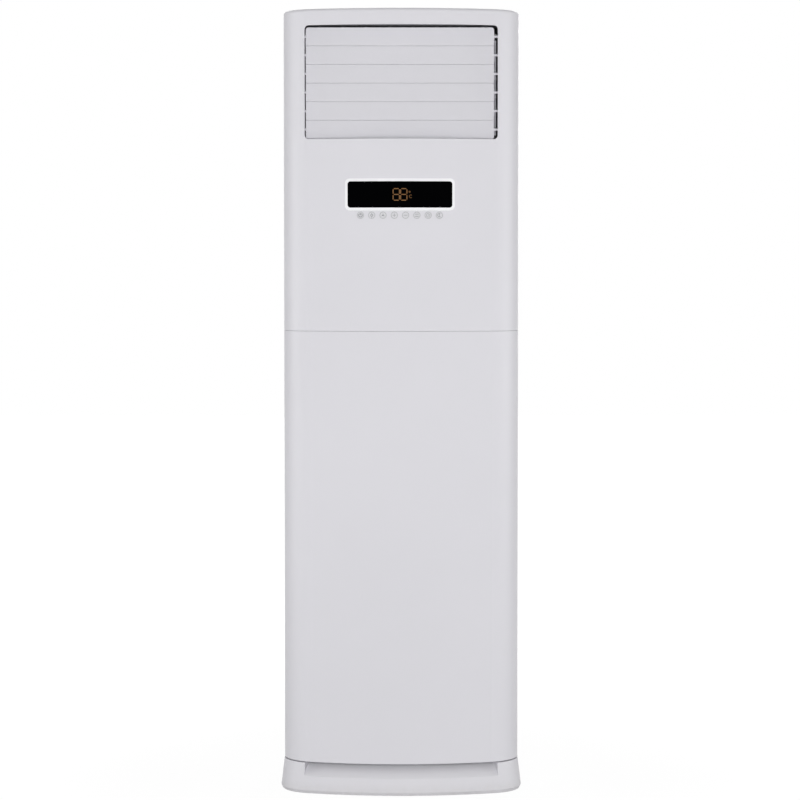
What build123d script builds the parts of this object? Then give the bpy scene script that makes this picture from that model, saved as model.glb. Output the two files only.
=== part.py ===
from build123d import *
import math
import os

os.makedirs("parts", exist_ok=True)

# Floor standing air conditioner, millimetres. +X is right, +Y is back, +Z is up.
# The origin is on the floor, under the middle of the whole object.

# Overall size
HEIGHT = 1870.0
HALF_DEPTH = 197.5

# Cabinet plan: one shallow front arc, two corner arcs, straight sides and a flat back
CABINET_HALF_WIDTH = 282.0
CABINET_FRONT_Y = -190.0
BACK_Y = 182.5
FRONT_RADIUS = 800.0
CORNER_RADIUS = 90.0
ARC_CENTRE_Y = CABINET_FRONT_Y + FRONT_RADIUS

# Walls, seams and clearances
PANEL_WALL = 3.0
SHEET = 1.5
PANEL_FLANGE = 14.0
SIDE_SEAM_Y = -60.0
SEAM = 0.6
PANEL_SEAM = 0.6
PANEL_SEAM_Z = 1107.5
PANEL_LIP = 0.8
TOP_EDGE_RADIUS = 8.0
TOP_COVER_Z = 1840.0
TOP_COVER_WALL = 2.0
PIN_CLEARANCE = 0.08
FIT_GAP = 0.3

# Base
PLINTH_TOP_Z = 72.5
PANEL_BOTTOM_Z = 75.0
PLINTH_HALF_WIDTH = 290.5
PLINTH_CORNER_RADIUS = 90.0
PLINTH_EDGE = 4.0
PLINTH_EDGE_Z = 8.0
RECESS_HALF_ANGLE = math.degrees(math.asin(231.0 / FRONT_RADIUS))
RECESS_RIDGE_Z = 41.0
RECESS_DEPTH = 46.0
RECESS_SLOPE = [(4.0, 0.0), (-4.0, 8.0), (-17.0, 18.5), (-31.0, 27.0)]
UNDERSIDE_WALL = 9.0
UNDERSIDE_ROOF = 4.0
UNDERSIDE_HALF_WIDTH = 276.0
UNDERSIDE_FRONT_RADIUS = 752.0
UNDERSIDE_CORNER_RADIUS = 50.0
UNDERSIDE_BACK = 6.0
TAB_X = 243.0
TAB_WIDTH = 80.0
TAB_DEPTH = 46.0
TAB_THICKNESS = 5.0
PAN_INSET = 26.0
PAN_LIP = 14.0
ANCHOR_X = 235.0
ANCHOR_FRONT_Y = -110.0
ANCHOR_BACK_Y = 140.0
ANCHOR_HOLE_RADIUS = 5.0

# Steel sides, back, screws, pipe hole and wall bracket
SIDE_FLANGE = 22.0
SCREW_HOLE_RADIUS = 2.3
SCREW_SHANK_RADIUS = 2.1
SCREW_LENGTH = 9.0
SCREW_HEAD_RADIUS = 4.4
SCREW_HEAD_HEIGHT = 2.4
SCREW_SLOT_WIDTH = 1.0
SIDE_SCREW_X = 270.0
LOWER_SCREW_COUNT = 5
LOWER_SCREW_Z = 110.0
LOWER_SCREW_PITCH = 240.0
UPPER_SCREW_COUNT = 4
UPPER_SCREW_Z = 1140.0
UPPER_SCREW_PITCH = 225.0
BEAD_LENGTH = 420.0
BEAD_WIDTH = 16.0
BEAD_HEIGHT = 2.0
BEAD_PITCH = 130.0
LOWER_BEAD_COUNT = 6
LOWER_BEAD_Z = 330.0
UPPER_BEAD_COUNT = 4
UPPER_BEAD_Z = 1180.0
PIPE_HOLE_X = 150.0
PIPE_HOLE_Z = 190.0
PIPE_HOLE_RADIUS = 33.0
GROMMET_WALL = 5.0
GROMMET_LENGTH = 9.0
GROMMET_BEHIND = 3.0
BRACKET_HALF_WIDTH = 95.0
BRACKET_SHEET = 2.0
BRACKET_BOTTOM_Z = 1785.0
BRACKET_STEP_Z = 1828.0
BRACKET_TOP_Z = 1862.0
BRACKET_HOLE_X = 70.0
BRACKET_HOLE_Z = 1846.0
BRACKET_HOLE_RADIUS = 3.5
BRACKET_SCREW_X = 60.0
BRACKET_SCREW_Z = 1800.0

# Air outlet and its louvre
OUTLET_HALF_WIDTH = 229.0
OUTLET_BOTTOM_Z = 1562.5
OUTLET_TOP_Z = 1831.5
OUTLET_CORNER_RADIUS = 10.0
FRAME_HALF_WIDTH = 229.5
FRAME_BOTTOM_Z = 1557.0
FRAME_TOP_Z = 1834.0
FRAME_WALL = 3.5
FRAME_BACK_Y = -57.8
FRAME_CORNER_RADIUS = 4.5
BULKHEAD_HEIGHT = 318.0
BULKHEAD_Z = 1699.0
BLADE_COUNT = 6
BLADE_PITCH = 44.0
BLADE_TOP_Z = 1828.2
BLADE_LEFT_X = -226.8
BLADE_RIGHT_X = 220.5
BLADE_THICKNESS = 4.4
BLADE_EASE = 0.6
BLADE_CORNER_RADIUS = 7.0
BLADE_AXIS_Y = -138.0
BLADE_PIN_RADIUS = 3.0
CRANK_RADIUS = 16.0
CRANK_REST_DEG = -42.5
CRANK_PIN_RADIUS = 2.0
CRANK_PIN_LENGTH = 5.4
LINK_WIDTH = 7.0
LINK_GAP = 0.4
BLADE_SEAM = 0.5
LIP_LAP = 2.0
FRONT_LIP = 1.9
REAR_LIP = 1.7
ARM_THICKNESS = 1.2
DRIVEN_BLADE = 3
DRIVE_PIN_RADIUS = 1.8
DRIVE_REACH = 4.0

# Stepper motors of the louvre and of the vanes
MOTOR_CAN_RADIUS = 10.0
MOTOR_CAN_LENGTH = 13.0
MOTOR_CAN_OFFSET = 8.0
MOTOR_EAR_REACH = 15.0
MOTOR_EAR_RADIUS = 3.0
MOTOR_STAND = 0.8
MOTOR_BORE_DEPTH = 3.8

# Upright vanes
VANE_COUNT = 8
VANE_PITCH = 56.0
VANE_AXIS_Y = -88.0
VANE_CHORD = 40.0
VANE_THICKNESS = 2.4
VANE_BOTTOM_Z = 1563.5
VANE_TOP_Z = 1831.0
VANE_PIN_RADIUS = 2.5
VANE_CRANK_RADIUS = 15.0
VANE_CRANK_PIN_RADIUS = 1.5
VANE_CRANK_PIN_LENGTH = 5.5
VANE_LINK_BOTTOM_Z = 1558.5
VANE_LINK_HEIGHT = 3.0
VANE_LINK_WIDTH = 8.0
DRIVEN_VANE = 4

# Display and buttons
DISPLAY_X = -3.0
DISPLAY_Z = 1431.0
WINDOW_WIDTH = 247.5
WINDOW_HEIGHT = 62.0
WINDOW_CORNER = 7.0
WINDOW_PROUD = 0.6
BEZEL_WIDTH = 260.0
BEZEL_HEIGHT = 76.0
BEZEL_CORNER = 11.0
BEZEL_PROUD = 1.4
BEZEL_DEPTH = 5.0
BUTTON_COUNT = 8
BUTTON_PITCH = 26.66
BUTTON_Z = 1382.0
BUTTON_RADIUS = 9.0
BUTTON_FLANGE_RADIUS = 11.0
BUTTON_PROUD = 0.4
BUTTON_BACK_Y = -175.5
SWITCH_FRONT_Y = -174.2
SWITCH_SIZE = 6.0
BOARD_FRONT_Y = -171.0
BOARD_WIDTH = 236.0
BOARD_HEIGHT = 118.0
BOARD_CORNER = 3.0
BOARD_RISE = 19.0
DIGITS_WIDTH = 72.0
DIGITS_HEIGHT = 34.0
DIGITS_DEPTH = 7.0
POST_RADIUS = 4.0
POST_LENGTH = 9.5
POST_X = 108.0
POST_BELOW_BUTTONS = 8.0
POST_ABOVE_DISPLAY = 46.0

# Side cassettes
CASSETTE_Y = 38.0
CASSETTE_Z = 530.0
CASSETTE_WIDTH = 158.0
CASSETTE_HEIGHT = 678.0
CASSETTE_CORNER = 10.0
CASSETTE_GAP = 1.0
GRILLE_DEPTH = 14.0
SLOT_COLUMNS = 3
SLOT_ROWS = 72
SLOT_PITCH_Y = 47.5
SLOT_PITCH_Z = 9.0
SLOT_WIDTH = 43.0
SLOT_HEIGHT = 6.0
FILTER_DEPTH = 6.0
FILTER_COLUMNS = 2
FILTER_ROWS = 10
FILTER_CELL_WIDTH = 64.0
FILTER_CELL_HEIGHT = 60.0
FILTER_PITCH_Y = 68.0
FILTER_PITCH_Z = 66.0
FILTER_INSET = 4.0
MESH_THICKNESS = 1.0

# Blower
BLOWER_Z = 430.0
SCROLL_FRONT_Y = -58.0
SCROLL_BACK_Y = 105.0
SCROLL_WALL = 3.0
SCROLL_START_RADIUS = 162.0
SCROLL_END_RADIUS = 232.0
SCROLL_START_DEG = 75.0
SCROLL_SWEEP_DEG = 255.0
SCROLL_TOP_Z = 800.0
SCROLL_POINTS = 9
DUCT_RIGHT_X = 120.0
DUCT_LIP = 2.0
SHAFT_OPENING_RADIUS = 24.0
FOOT_X = 110.0
FOOT_Z = 182.0
FOOT_THICKNESS = 10.0
WHEEL_RADIUS = 150.0
WHEEL_FRONT_Y = -42.0
WHEEL_BACK_Y = 88.0
WHEEL_BLADE_COUNT = 36
WHEEL_BLADE_MIDDLE = 136.0
WHEEL_BLADE_THICKNESS = 1.8
WHEEL_DISC = 3.0
WHEEL_RING = 4.0
WHEEL_RING_INNER = 126.0
HUB_RADIUS = 20.0
HUB_LENGTH = 36.0
INLET_RADIUS = 118.0
INLET_FLARE = 5.0
INLET_DEPTH = 12.0
SHAFT_RADIUS = 6.0
SHAFT_IN_WHEEL = 44.0
SHAFT_IN_MOTOR = 40.0
MOTOR_RADIUS = 66.0
MOTOR_FRONT_Y = 111.0
MOTOR_LENGTH = 58.0
MOTOR_EDGE_RADIUS = 7.0
MOTOR_BOSS = 4.0
BRACKET_PLATE = 170.0
BRACKET_PLATE_THICKNESS = 3.0
BRACKET_PLATE_CORNER = 20.0
SPACER_PITCH = 140.0
SPACER_RADIUS = 7.0

# Cooling coil, leaning back as it rises
COIL_LEAN_DEG = 20.9
COIL_WIDTH = 430.0
COIL_LENGTH = 600.0
COIL_THICKNESS = 42.0
COIL_FOOT_Y = -85.0
COIL_FOOT_Z = 890.0
FIN_PITCH = 6.0
FIN_THICKNESS = 1.2
TUBE_RADIUS = 4.5
COIL_CORE = 2.0
END_PLATE_WIDTH = 60.0
BAFFLE_WIDTH = 44.0
BAFFLE_FOOT = 20.0
BEND_RADIUS = 12.5
BEND_PITCH = 40.0
BEND_COUNT = 14
BEND_FIRST_ROW = -260.0
GAS_ROW = -60.0
GAS_PIPE_X = 248.0
GAS_PIPE_RADIUS = 8.0
GAS_PIPE_BEND = 22.0
GAS_NUT_RADIUS = 12.5
LIQUID_ROW = -100.0
LIQUID_PIPE_X = 236.0
LIQUID_PIPE_RADIUS = 4.8
LIQUID_PIPE_BEND = 14.0
LIQUID_NUT_RADIUS = 8.5
NUT_LENGTH = 20.0
PIPE_END_Z = 300.0

# Drip tray below the coil
TRAY_HALF_WIDTH = 240.0
TRAY_FRONT_Y = -140.0
TRAY_BACK_Y = -30.0
TRAY_BOTTOM_Z = 866.0
TRAY_TOP_Z = 903.0
TRAY_WALL = 2.5
TRAY_CORNER = 8.0
TRAY_TAB_REACH = 41.0
TRAY_TAB_DEPTH = 24.0
TRAY_TAB_THICKNESS = 4.0
SPOUT_X = 205.0
SPOUT_Y = -50.0
SPOUT_RADIUS = 10.0
SPOUT_BORE_RADIUS = 7.5
SPOUT_LENGTH = 28.0

# Electric box and what it holds
BOX_X = 10.0
BOX_Z = 695.0
BOX_WIDTH = 310.0
BOX_HEIGHT = 220.0
BOX_FRONT_Y = -148.0
BOX_CORNER = 4.0
COVER_OVERLAP = 2.0
COVER_PANEL_INSET = 30.0
COVER_PANEL_HEIGHT = 2.0
CONTROL_X = 0.0
CONTROL_Z = 725.0
CONTROL_WIDTH = 260.0
CONTROL_HEIGHT = 130.0
CONTROL_STAND = 8.0
STAND_RADIUS = 3.0
CAPACITOR_RADIUS = 11.0
CAPACITOR_HEIGHT = 30.0
TERMINAL_X = 80.0
TERMINAL_Z = 615.0
TERMINAL_WIDTH = 110.0
TERMINAL_HEIGHT = 36.0
TERMINAL_DEPTH = 18.0
TERMINAL_PITCH = 21.0
TERMINAL_COUNT = 5


def draw_plan(half_width, front_y, front_radius, corner_radius, back_y, mode=Mode.ADD):
    """Plan outline: a front arc, two corner arcs tangent to it and to the sides, and a flat back."""
    centre_y = front_y + front_radius
    corner_x = half_width - corner_radius
    spread = math.asin(corner_x / (front_radius - corner_radius))
    corner_y = centre_y - (front_radius - corner_radius) * math.cos(spread)
    end_x = front_radius * math.sin(spread)
    end_y = centre_y - front_radius * math.cos(spread)
    middle = (spread + math.pi / 2) / 2
    middle_x = corner_x + corner_radius * math.sin(middle)
    middle_y = corner_y - corner_radius * math.cos(middle)
    with BuildLine() as outline:
        ThreePointArc((-end_x, end_y), (0, front_y), (end_x, end_y))
        ThreePointArc((end_x, end_y), (middle_x, middle_y), (half_width, corner_y))
        Polyline(
            (half_width, corner_y),
            (half_width, back_y),
            (-half_width, back_y),
            (-half_width, corner_y),
        )
        ThreePointArc((-half_width, corner_y), (-middle_x, middle_y), (-end_x, end_y))
    make_face(outline.edges(), mode=mode)


def cabinet_plan(inset=0.0, mode=Mode.ADD):
    """Plan of the cabinet, moved inwards by inset."""
    draw_plan(
        CABINET_HALF_WIDTH - inset,
        CABINET_FRONT_Y + inset,
        FRONT_RADIUS - inset,
        CORNER_RADIUS - inset,
        BACK_Y - inset,
        mode,
    )


def plinth_plan(inset=0.0, mode=Mode.ADD):
    """Plan of the base at its widest, moved inwards by inset."""
    draw_plan(
        PLINTH_HALF_WIDTH - inset,
        -HALF_DEPTH + inset,
        FRONT_RADIUS - inset,
        PLINTH_CORNER_RADIUS - inset,
        BACK_Y - min(inset, 1.0),
        mode,
    )


def cabinet_block(inset):
    """Solid with the cabinet's plan moved inwards by inset, used to trim pieces to the curved front."""
    with BuildPart() as block:
        with BuildSketch():
            cabinet_plan(inset)
        extrude(amount=HEIGHT)
    return block.part


front_side = Plane(origin=(0, SIDE_SEAM_Y, 0), z_dir=(0, -1, 0))
skin_behind = cabinet_block(PANEL_WALL + FIT_GAP)

# ---------------------------------------------------------------- front panels
outlet_height = OUTLET_TOP_Z - OUTLET_BOTTOM_Z
outlet_z = (OUTLET_TOP_Z + OUTLET_BOTTOM_Z) / 2
button_xs = [DISPLAY_X + (i - (BUTTON_COUNT - 1) / 2) * BUTTON_PITCH for i in range(BUTTON_COUNT)]
button_places = [(x, BUTTON_Z) for x in button_xs]
post_zs = (BUTTON_Z - POST_BELOW_BUTTONS, DISPLAY_Z + POST_ABOVE_DISPLAY)
board_posts = [(x, z) for x in (DISPLAY_X - POST_X, DISPLAY_X + POST_X) for z in post_zs]
upper_bottom_z = PANEL_SEAM_Z + PANEL_SEAM / 2
lower_top_z = PANEL_SEAM_Z - PANEL_SEAM / 2

with BuildPart() as upper_front_panel:
    with BuildSketch(Plane.XY.offset(upper_bottom_z)):
        cabinet_plan()
    extrude(amount=HEIGHT - upper_bottom_z)
    split(bisect_by=front_side)
    top_face = upper_front_panel.faces().sort_by(Axis.Z)[-1]
    fillet(top_face.edges().sort_by(Axis.Y)[:-1], radius=TOP_EDGE_RADIUS)
    offset(amount=-PANEL_WALL, openings=[upper_front_panel.faces().sort_by(Axis.Y)[-1]])
    with BuildSketch(Plane.XY.offset(upper_bottom_z)):
        cabinet_plan(PANEL_FLANGE)
    extrude(amount=HEIGHT - upper_bottom_z, mode=Mode.SUBTRACT)
    with BuildSketch(Plane.XZ.offset(-BOARD_FRONT_Y)):
        with Locations(*board_posts):
            Circle(POST_RADIUS)
    extrude(amount=POST_LENGTH)
    with BuildSketch(Plane.XZ):
        with Locations((0, outlet_z)):
            RectangleRounded(2 * OUTLET_HALF_WIDTH, outlet_height, OUTLET_CORNER_RADIUS)
        with Locations((DISPLAY_X, DISPLAY_Z)):
            RectangleRounded(BEZEL_WIDTH + FIT_GAP, BEZEL_HEIGHT + FIT_GAP, BEZEL_CORNER)
        with Locations(*button_places):
            Circle(BUTTON_RADIUS + FIT_GAP)
    extrude(amount=HALF_DEPTH, mode=Mode.SUBTRACT)
upper_front_panel.part.label = "upper_front_panel"
export_step(upper_front_panel.part, "parts/upper_front_panel.step")

with BuildPart() as lower_front_panel:
    with BuildSketch(Plane.XY.offset(PANEL_BOTTOM_Z)):
        cabinet_plan()
    extrude(amount=lower_top_z - PANEL_BOTTOM_Z)
    split(bisect_by=front_side)
    offset(amount=-PANEL_WALL, openings=[lower_front_panel.faces().sort_by(Axis.Y)[-1]])
    with BuildSketch(Plane.XY.offset(PANEL_BOTTOM_Z)):
        cabinet_plan(PANEL_FLANGE)
    extrude(amount=lower_top_z - PANEL_BOTTOM_Z, mode=Mode.SUBTRACT)
    chamfer(lower_front_panel.edges().group_by(Axis.Z)[0].sort_by(Axis.Y)[0:1], length=PANEL_LIP)
lower_front_panel.part.label = "lower_front_panel"
export_step(lower_front_panel.part, "parts/lower_front_panel.step")

# ---------------------------------------------------------------- display
with BuildPart() as display_bezel:
    with BuildSketch(Plane.XZ):
        with Locations((DISPLAY_X, DISPLAY_Z)):
            RectangleRounded(BEZEL_WIDTH, BEZEL_HEIGHT, BEZEL_CORNER)
            RectangleRounded(
                WINDOW_WIDTH + FIT_GAP, WINDOW_HEIGHT + FIT_GAP, WINDOW_CORNER, mode=Mode.SUBTRACT
            )
    extrude(amount=HALF_DEPTH)
    add(cabinet_block(-BEZEL_PROUD), mode=Mode.INTERSECT)
    add(cabinet_block(BEZEL_DEPTH), mode=Mode.SUBTRACT)
display_bezel.part.label = "display_bezel"
export_step(display_bezel.part, "parts/display_bezel.step")

with BuildPart() as display_window:
    with BuildSketch(Plane.XZ):
        with Locations((DISPLAY_X, DISPLAY_Z)):
            RectangleRounded(WINDOW_WIDTH, WINDOW_HEIGHT, WINDOW_CORNER - FIT_GAP / 2)
    extrude(amount=HALF_DEPTH)
    add(cabinet_block(-WINDOW_PROUD), mode=Mode.INTERSECT)
    add(cabinet_block(PANEL_WALL), mode=Mode.SUBTRACT)
display_window.part.label = "display_window"
export_step(display_window.part, "parts/display_window.step")

board_centre_z = (BUTTON_Z + DISPLAY_Z) / 2 + BOARD_RISE
with BuildPart() as display_board:
    with BuildSketch(Plane.XZ.offset(-BOARD_FRONT_Y - SHEET)):
        with Locations((DISPLAY_X, board_centre_z)):
            RectangleRounded(BOARD_WIDTH, BOARD_HEIGHT, BOARD_CORNER)
    extrude(amount=SHEET)
    with BuildSketch(Plane.XZ.offset(-BOARD_FRONT_Y)):
        with Locations(*button_places):
            Rectangle(SWITCH_SIZE, SWITCH_SIZE)
    extrude(amount=BOARD_FRONT_Y - SWITCH_FRONT_Y)
    with BuildSketch(Plane.XZ.offset(-BOARD_FRONT_Y)):
        with Locations((DISPLAY_X, DISPLAY_Z)):
            Rectangle(DIGITS_WIDTH, DIGITS_HEIGHT)
    extrude(amount=DIGITS_DEPTH)
display_board.part.label = "display_board"
export_step(display_board.part, "parts/display_board.step")

for index, x in enumerate(button_xs, start=1):
    with BuildPart() as head:
        with BuildSketch(Plane.XZ.offset(-BUTTON_BACK_Y)):
            with Locations((x, BUTTON_Z)):
                Circle(BUTTON_RADIUS)
        extrude(amount=HALF_DEPTH + BUTTON_BACK_Y)
        add(cabinet_block(-BUTTON_PROUD), mode=Mode.INTERSECT)
    with BuildPart() as button:
        with BuildSketch(Plane.XZ.offset(-BUTTON_BACK_Y)):
            with Locations((x, BUTTON_Z)):
                Circle(BUTTON_FLANGE_RADIUS)
        extrude(amount=HALF_DEPTH + BUTTON_BACK_Y)
        add(skin_behind, mode=Mode.INTERSECT)
        add(head.part)
    button.part.label = f"button_{index}"
    export_step(button.part, f"parts/button_{index}.step")

# ---------------------------------------------------------------- base
with BuildPart() as recess_tool:
    turn = math.radians(-RECESS_HALF_ANGLE)
    radial = (math.sin(turn), -math.cos(turn), 0)
    recess_plane = Plane(
        origin=(0, ARC_CENTRE_Y, 0), x_dir=radial, z_dir=(-math.cos(turn), -math.sin(turn), 0)
    )
    outside = FRONT_RADIUS + 20.0
    above_z = PLINTH_TOP_Z + 1.0
    slope = [(FRONT_RADIUS + out, RECESS_RIDGE_Z + rise) for out, rise in RECESS_SLOPE]
    deep = (FRONT_RADIUS - RECESS_DEPTH, above_z)
    with BuildSketch(recess_plane):
        with BuildLine():
            Spline(*slope, deep)
            Polyline(deep, (outside, above_z), (outside, RECESS_RIDGE_Z), slope[0])
        make_face()
    revolve(axis=Axis((0, ARC_CENTRE_Y, 0), (0, 0, 1)), revolution_arc=2 * RECESS_HALF_ANGLE)

with BuildPart() as base_plinth:
    with BuildSketch():
        plinth_plan(PLINTH_EDGE)
    with BuildSketch(Plane.XY.offset(PLINTH_EDGE_Z)):
        plinth_plan()
    with BuildSketch(Plane.XY.offset(PLINTH_TOP_Z)):
        cabinet_plan(-0.5)
    loft(ruled=True)
    # hollow underside: a full-width space below the ridge, and a shorter one behind the recess
    with BuildSketch():
        plinth_plan(UNDERSIDE_WALL)
    extrude(amount=RECESS_RIDGE_Z - UNDERSIDE_ROOF, mode=Mode.SUBTRACT)
    with BuildSketch():
        draw_plan(
            UNDERSIDE_HALF_WIDTH,
            CABINET_FRONT_Y + RECESS_DEPTH + UNDERSIDE_ROOF + 1.0,
            UNDERSIDE_FRONT_RADIUS,
            UNDERSIDE_CORNER_RADIUS,
            BACK_Y - UNDERSIDE_BACK,
        )
    extrude(amount=PLINTH_TOP_Z - UNDERSIDE_ROOF, mode=Mode.SUBTRACT)
    add(recess_tool.part, mode=Mode.SUBTRACT)
    # anchor tabs in the four corners
    with BuildSketch():
        for side in (-1, 1):
            with Locations((side * TAB_X, ANCHOR_FRONT_Y), (side * TAB_X, ANCHOR_BACK_Y)):
                Rectangle(TAB_WIDTH, TAB_DEPTH)
        plinth_plan(PLINTH_EDGE + 1.0, mode=Mode.INTERSECT)
    extrude(amount=TAB_THICKNESS)
    with BuildSketch():
        for side in (-1, 1):
            with Locations((side * ANCHOR_X, ANCHOR_FRONT_Y), (side * ANCHOR_X, ANCHOR_BACK_Y)):
                Circle(ANCHOR_HOLE_RADIUS)
    extrude(amount=TAB_THICKNESS, mode=Mode.SUBTRACT)
base_plinth.part.label = "base_plinth"
export_step(base_plinth.part, "parts/base_plinth.step")

with BuildPart() as base_pan:
    with BuildSketch(Plane.XY.offset(PLINTH_TOP_Z)):
        cabinet_plan(PAN_INSET)
    extrude(amount=PAN_LIP)
    with BuildSketch(Plane.XY.offset(PLINTH_TOP_Z + SHEET)):
        cabinet_plan(PAN_INSET + SHEET)
    extrude(amount=PAN_LIP, mode=Mode.SUBTRACT)
base_pan.part.label = "base_pan"
export_step(base_pan.part, "parts/base_pan.step")

# ---------------------------------------------------------------- top, sides and back
with BuildPart() as top_cover:
    with BuildSketch(Plane.XY.offset(TOP_COVER_Z)):
        cabinet_plan()
    extrude(amount=HEIGHT - TOP_COVER_Z)
    fillet(top_cover.edges().group_by(Axis.Z)[-1], radius=TOP_EDGE_RADIUS)
    offset(amount=-TOP_COVER_WALL, openings=[top_cover.faces().sort_by(Axis.Z)[0]])
    with BuildSketch(Plane.XY.offset(TOP_COVER_Z)):
        with Locations((0, SIDE_SEAM_Y + SEAM - HALF_DEPTH / 2)):
            Rectangle(4 * HALF_DEPTH, HALF_DEPTH)
        cabinet_plan(PANEL_FLANGE + SEAM, mode=Mode.SUBTRACT)
    extrude(amount=HEIGHT - TOP_COVER_Z, mode=Mode.SUBTRACT)
top_cover.part.label = "top_cover"
export_step(top_cover.part, "parts/top_cover.step")

side_front_y = SIDE_SEAM_Y + SEAM
side_height = TOP_COVER_Z - SEAM - PLINTH_TOP_Z
lower_screw_zs = [LOWER_SCREW_Z + LOWER_SCREW_PITCH * i for i in range(LOWER_SCREW_COUNT)]
upper_screw_zs = [UPPER_SCREW_Z + UPPER_SCREW_PITCH * i for i in range(UPPER_SCREW_COUNT)]

for side, name in ((-1, "left_side_plate"), (1, "right_side_plate")):
    with BuildPart() as side_plate:
        with BuildSketch(Plane.XY.offset(PLINTH_TOP_Z)):
            web_x = side * (CABINET_HALF_WIDTH - SHEET / 2)
            flange_x = side * (CABINET_HALF_WIDTH - SIDE_FLANGE / 2)
            with Locations((web_x, (side_front_y + BACK_Y) / 2)):
                Rectangle(SHEET, BACK_Y - side_front_y)
            with Locations((flange_x, side_front_y + SHEET / 2), (flange_x, BACK_Y - 1.5 * SHEET)):
                Rectangle(SIDE_FLANGE, SHEET)
        extrude(amount=side_height)
        with BuildSketch(Plane.YZ):
            with Locations((CASSETTE_Y, CASSETTE_Z)):
                RectangleRounded(
                    CASSETTE_WIDTH + 2 * CASSETTE_GAP,
                    CASSETTE_HEIGHT + 2 * CASSETTE_GAP,
                    CASSETTE_CORNER + CASSETTE_GAP,
                )
        extrude(amount=side * HALF_DEPTH * 2, mode=Mode.SUBTRACT)
        with BuildSketch(Plane.XZ.offset(-BACK_Y)):
            with Locations(*[(side * SIDE_SCREW_X, z) for z in lower_screw_zs + upper_screw_zs]):
                Circle(SCREW_HOLE_RADIUS)
        extrude(amount=SCREW_LENGTH, mode=Mode.SUBTRACT)
    side_plate.part.label = name
    export_step(side_plate.part, f"parts/{name}.step")

rear_half_width = CABINET_HALF_WIDTH - SHEET - FIT_GAP
lower_rear_beads = [(0, LOWER_BEAD_Z + BEAD_PITCH * i) for i in range(LOWER_BEAD_COUNT)]
upper_rear_beads = [(0, UPPER_BEAD_Z + BEAD_PITCH * i) for i in range(UPPER_BEAD_COUNT)]

with BuildPart() as lower_rear_plate:
    with BuildSketch(Plane.XZ.offset(-BACK_Y)):
        with Locations((0, (PLINTH_TOP_Z + PANEL_SEAM_Z) / 2)):
            Rectangle(2 * rear_half_width, PANEL_SEAM_Z - PLINTH_TOP_Z - SEAM)
    extrude(amount=SHEET)
    with BuildSketch(Plane.XZ.offset(-BACK_Y)):
        with Locations(*lower_rear_beads):
            SlotOverall(BEAD_LENGTH, BEAD_WIDTH)
    extrude(amount=-BEAD_HEIGHT, taper=30)
    with BuildSketch(Plane.XZ.offset(-BACK_Y)):
        with Locations(*[(s * SIDE_SCREW_X, z) for s in (-1, 1) for z in lower_screw_zs]):
            Circle(SCREW_HOLE_RADIUS)
        with Locations((PIPE_HOLE_X, PIPE_HOLE_Z)):
            Circle(PIPE_HOLE_RADIUS)
    extrude(amount=2 * SHEET, both=True, mode=Mode.SUBTRACT)
lower_rear_plate.part.label = "lower_rear_plate"
export_step(lower_rear_plate.part, "parts/lower_rear_plate.step")

with BuildPart() as upper_rear_plate:
    with BuildSketch(Plane.XZ.offset(-BACK_Y)):
        with Locations((0, (PANEL_SEAM_Z + TOP_COVER_Z) / 2)):
            Rectangle(2 * rear_half_width, TOP_COVER_Z - PANEL_SEAM_Z - SEAM)
    extrude(amount=SHEET)
    with BuildSketch(Plane.XZ.offset(-BACK_Y)):
        with Locations(*upper_rear_beads):
            SlotOverall(BEAD_LENGTH, BEAD_WIDTH)
    extrude(amount=-BEAD_HEIGHT, taper=30)
    with BuildSketch(Plane.XZ.offset(-BACK_Y)):
        with Locations(*[(s * SIDE_SCREW_X, z) for s in (-1, 1) for z in upper_screw_zs]):
            Circle(SCREW_HOLE_RADIUS)
        with Locations((-BRACKET_SCREW_X, BRACKET_SCREW_Z), (BRACKET_SCREW_X, BRACKET_SCREW_Z)):
            Circle(SCREW_HOLE_RADIUS)
    extrude(amount=2 * SHEET, both=True, mode=Mode.SUBTRACT)
upper_rear_plate.part.label = "upper_rear_plate"
export_step(upper_rear_plate.part, "parts/upper_rear_plate.step")

with BuildPart() as pipe_grommet:
    with BuildSketch(Plane.XZ.offset(-BACK_Y - GROMMET_BEHIND)):
        with Locations((PIPE_HOLE_X, PIPE_HOLE_Z)):
            Circle(PIPE_HOLE_RADIUS + GROMMET_WALL)
    extrude(amount=GROMMET_LENGTH)
    # groove that holds the edge of the steel
    with BuildSketch(Plane.XZ.offset(-BACK_Y)):
        with Locations((PIPE_HOLE_X, PIPE_HOLE_Z)):
            Circle(PIPE_HOLE_RADIUS + GROMMET_WALL + 1.0)
            Circle(PIPE_HOLE_RADIUS - FIT_GAP, mode=Mode.SUBTRACT)
    extrude(amount=SHEET, mode=Mode.SUBTRACT)
    fillet(pipe_grommet.edges().filter_by(GeomType.CIRCLE).group_by(Axis.Y)[-1], radius=1.5)
    with BuildSketch(Plane.XZ.offset(-BACK_Y)):
        with Locations((PIPE_HOLE_X, PIPE_HOLE_Z)):
            Circle(PIPE_HOLE_RADIUS - GROMMET_WALL)
    extrude(amount=GROMMET_LENGTH, both=True, mode=Mode.SUBTRACT)
pipe_grommet.part.label = "pipe_grommet"
export_step(pipe_grommet.part, "parts/pipe_grommet.step")

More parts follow.
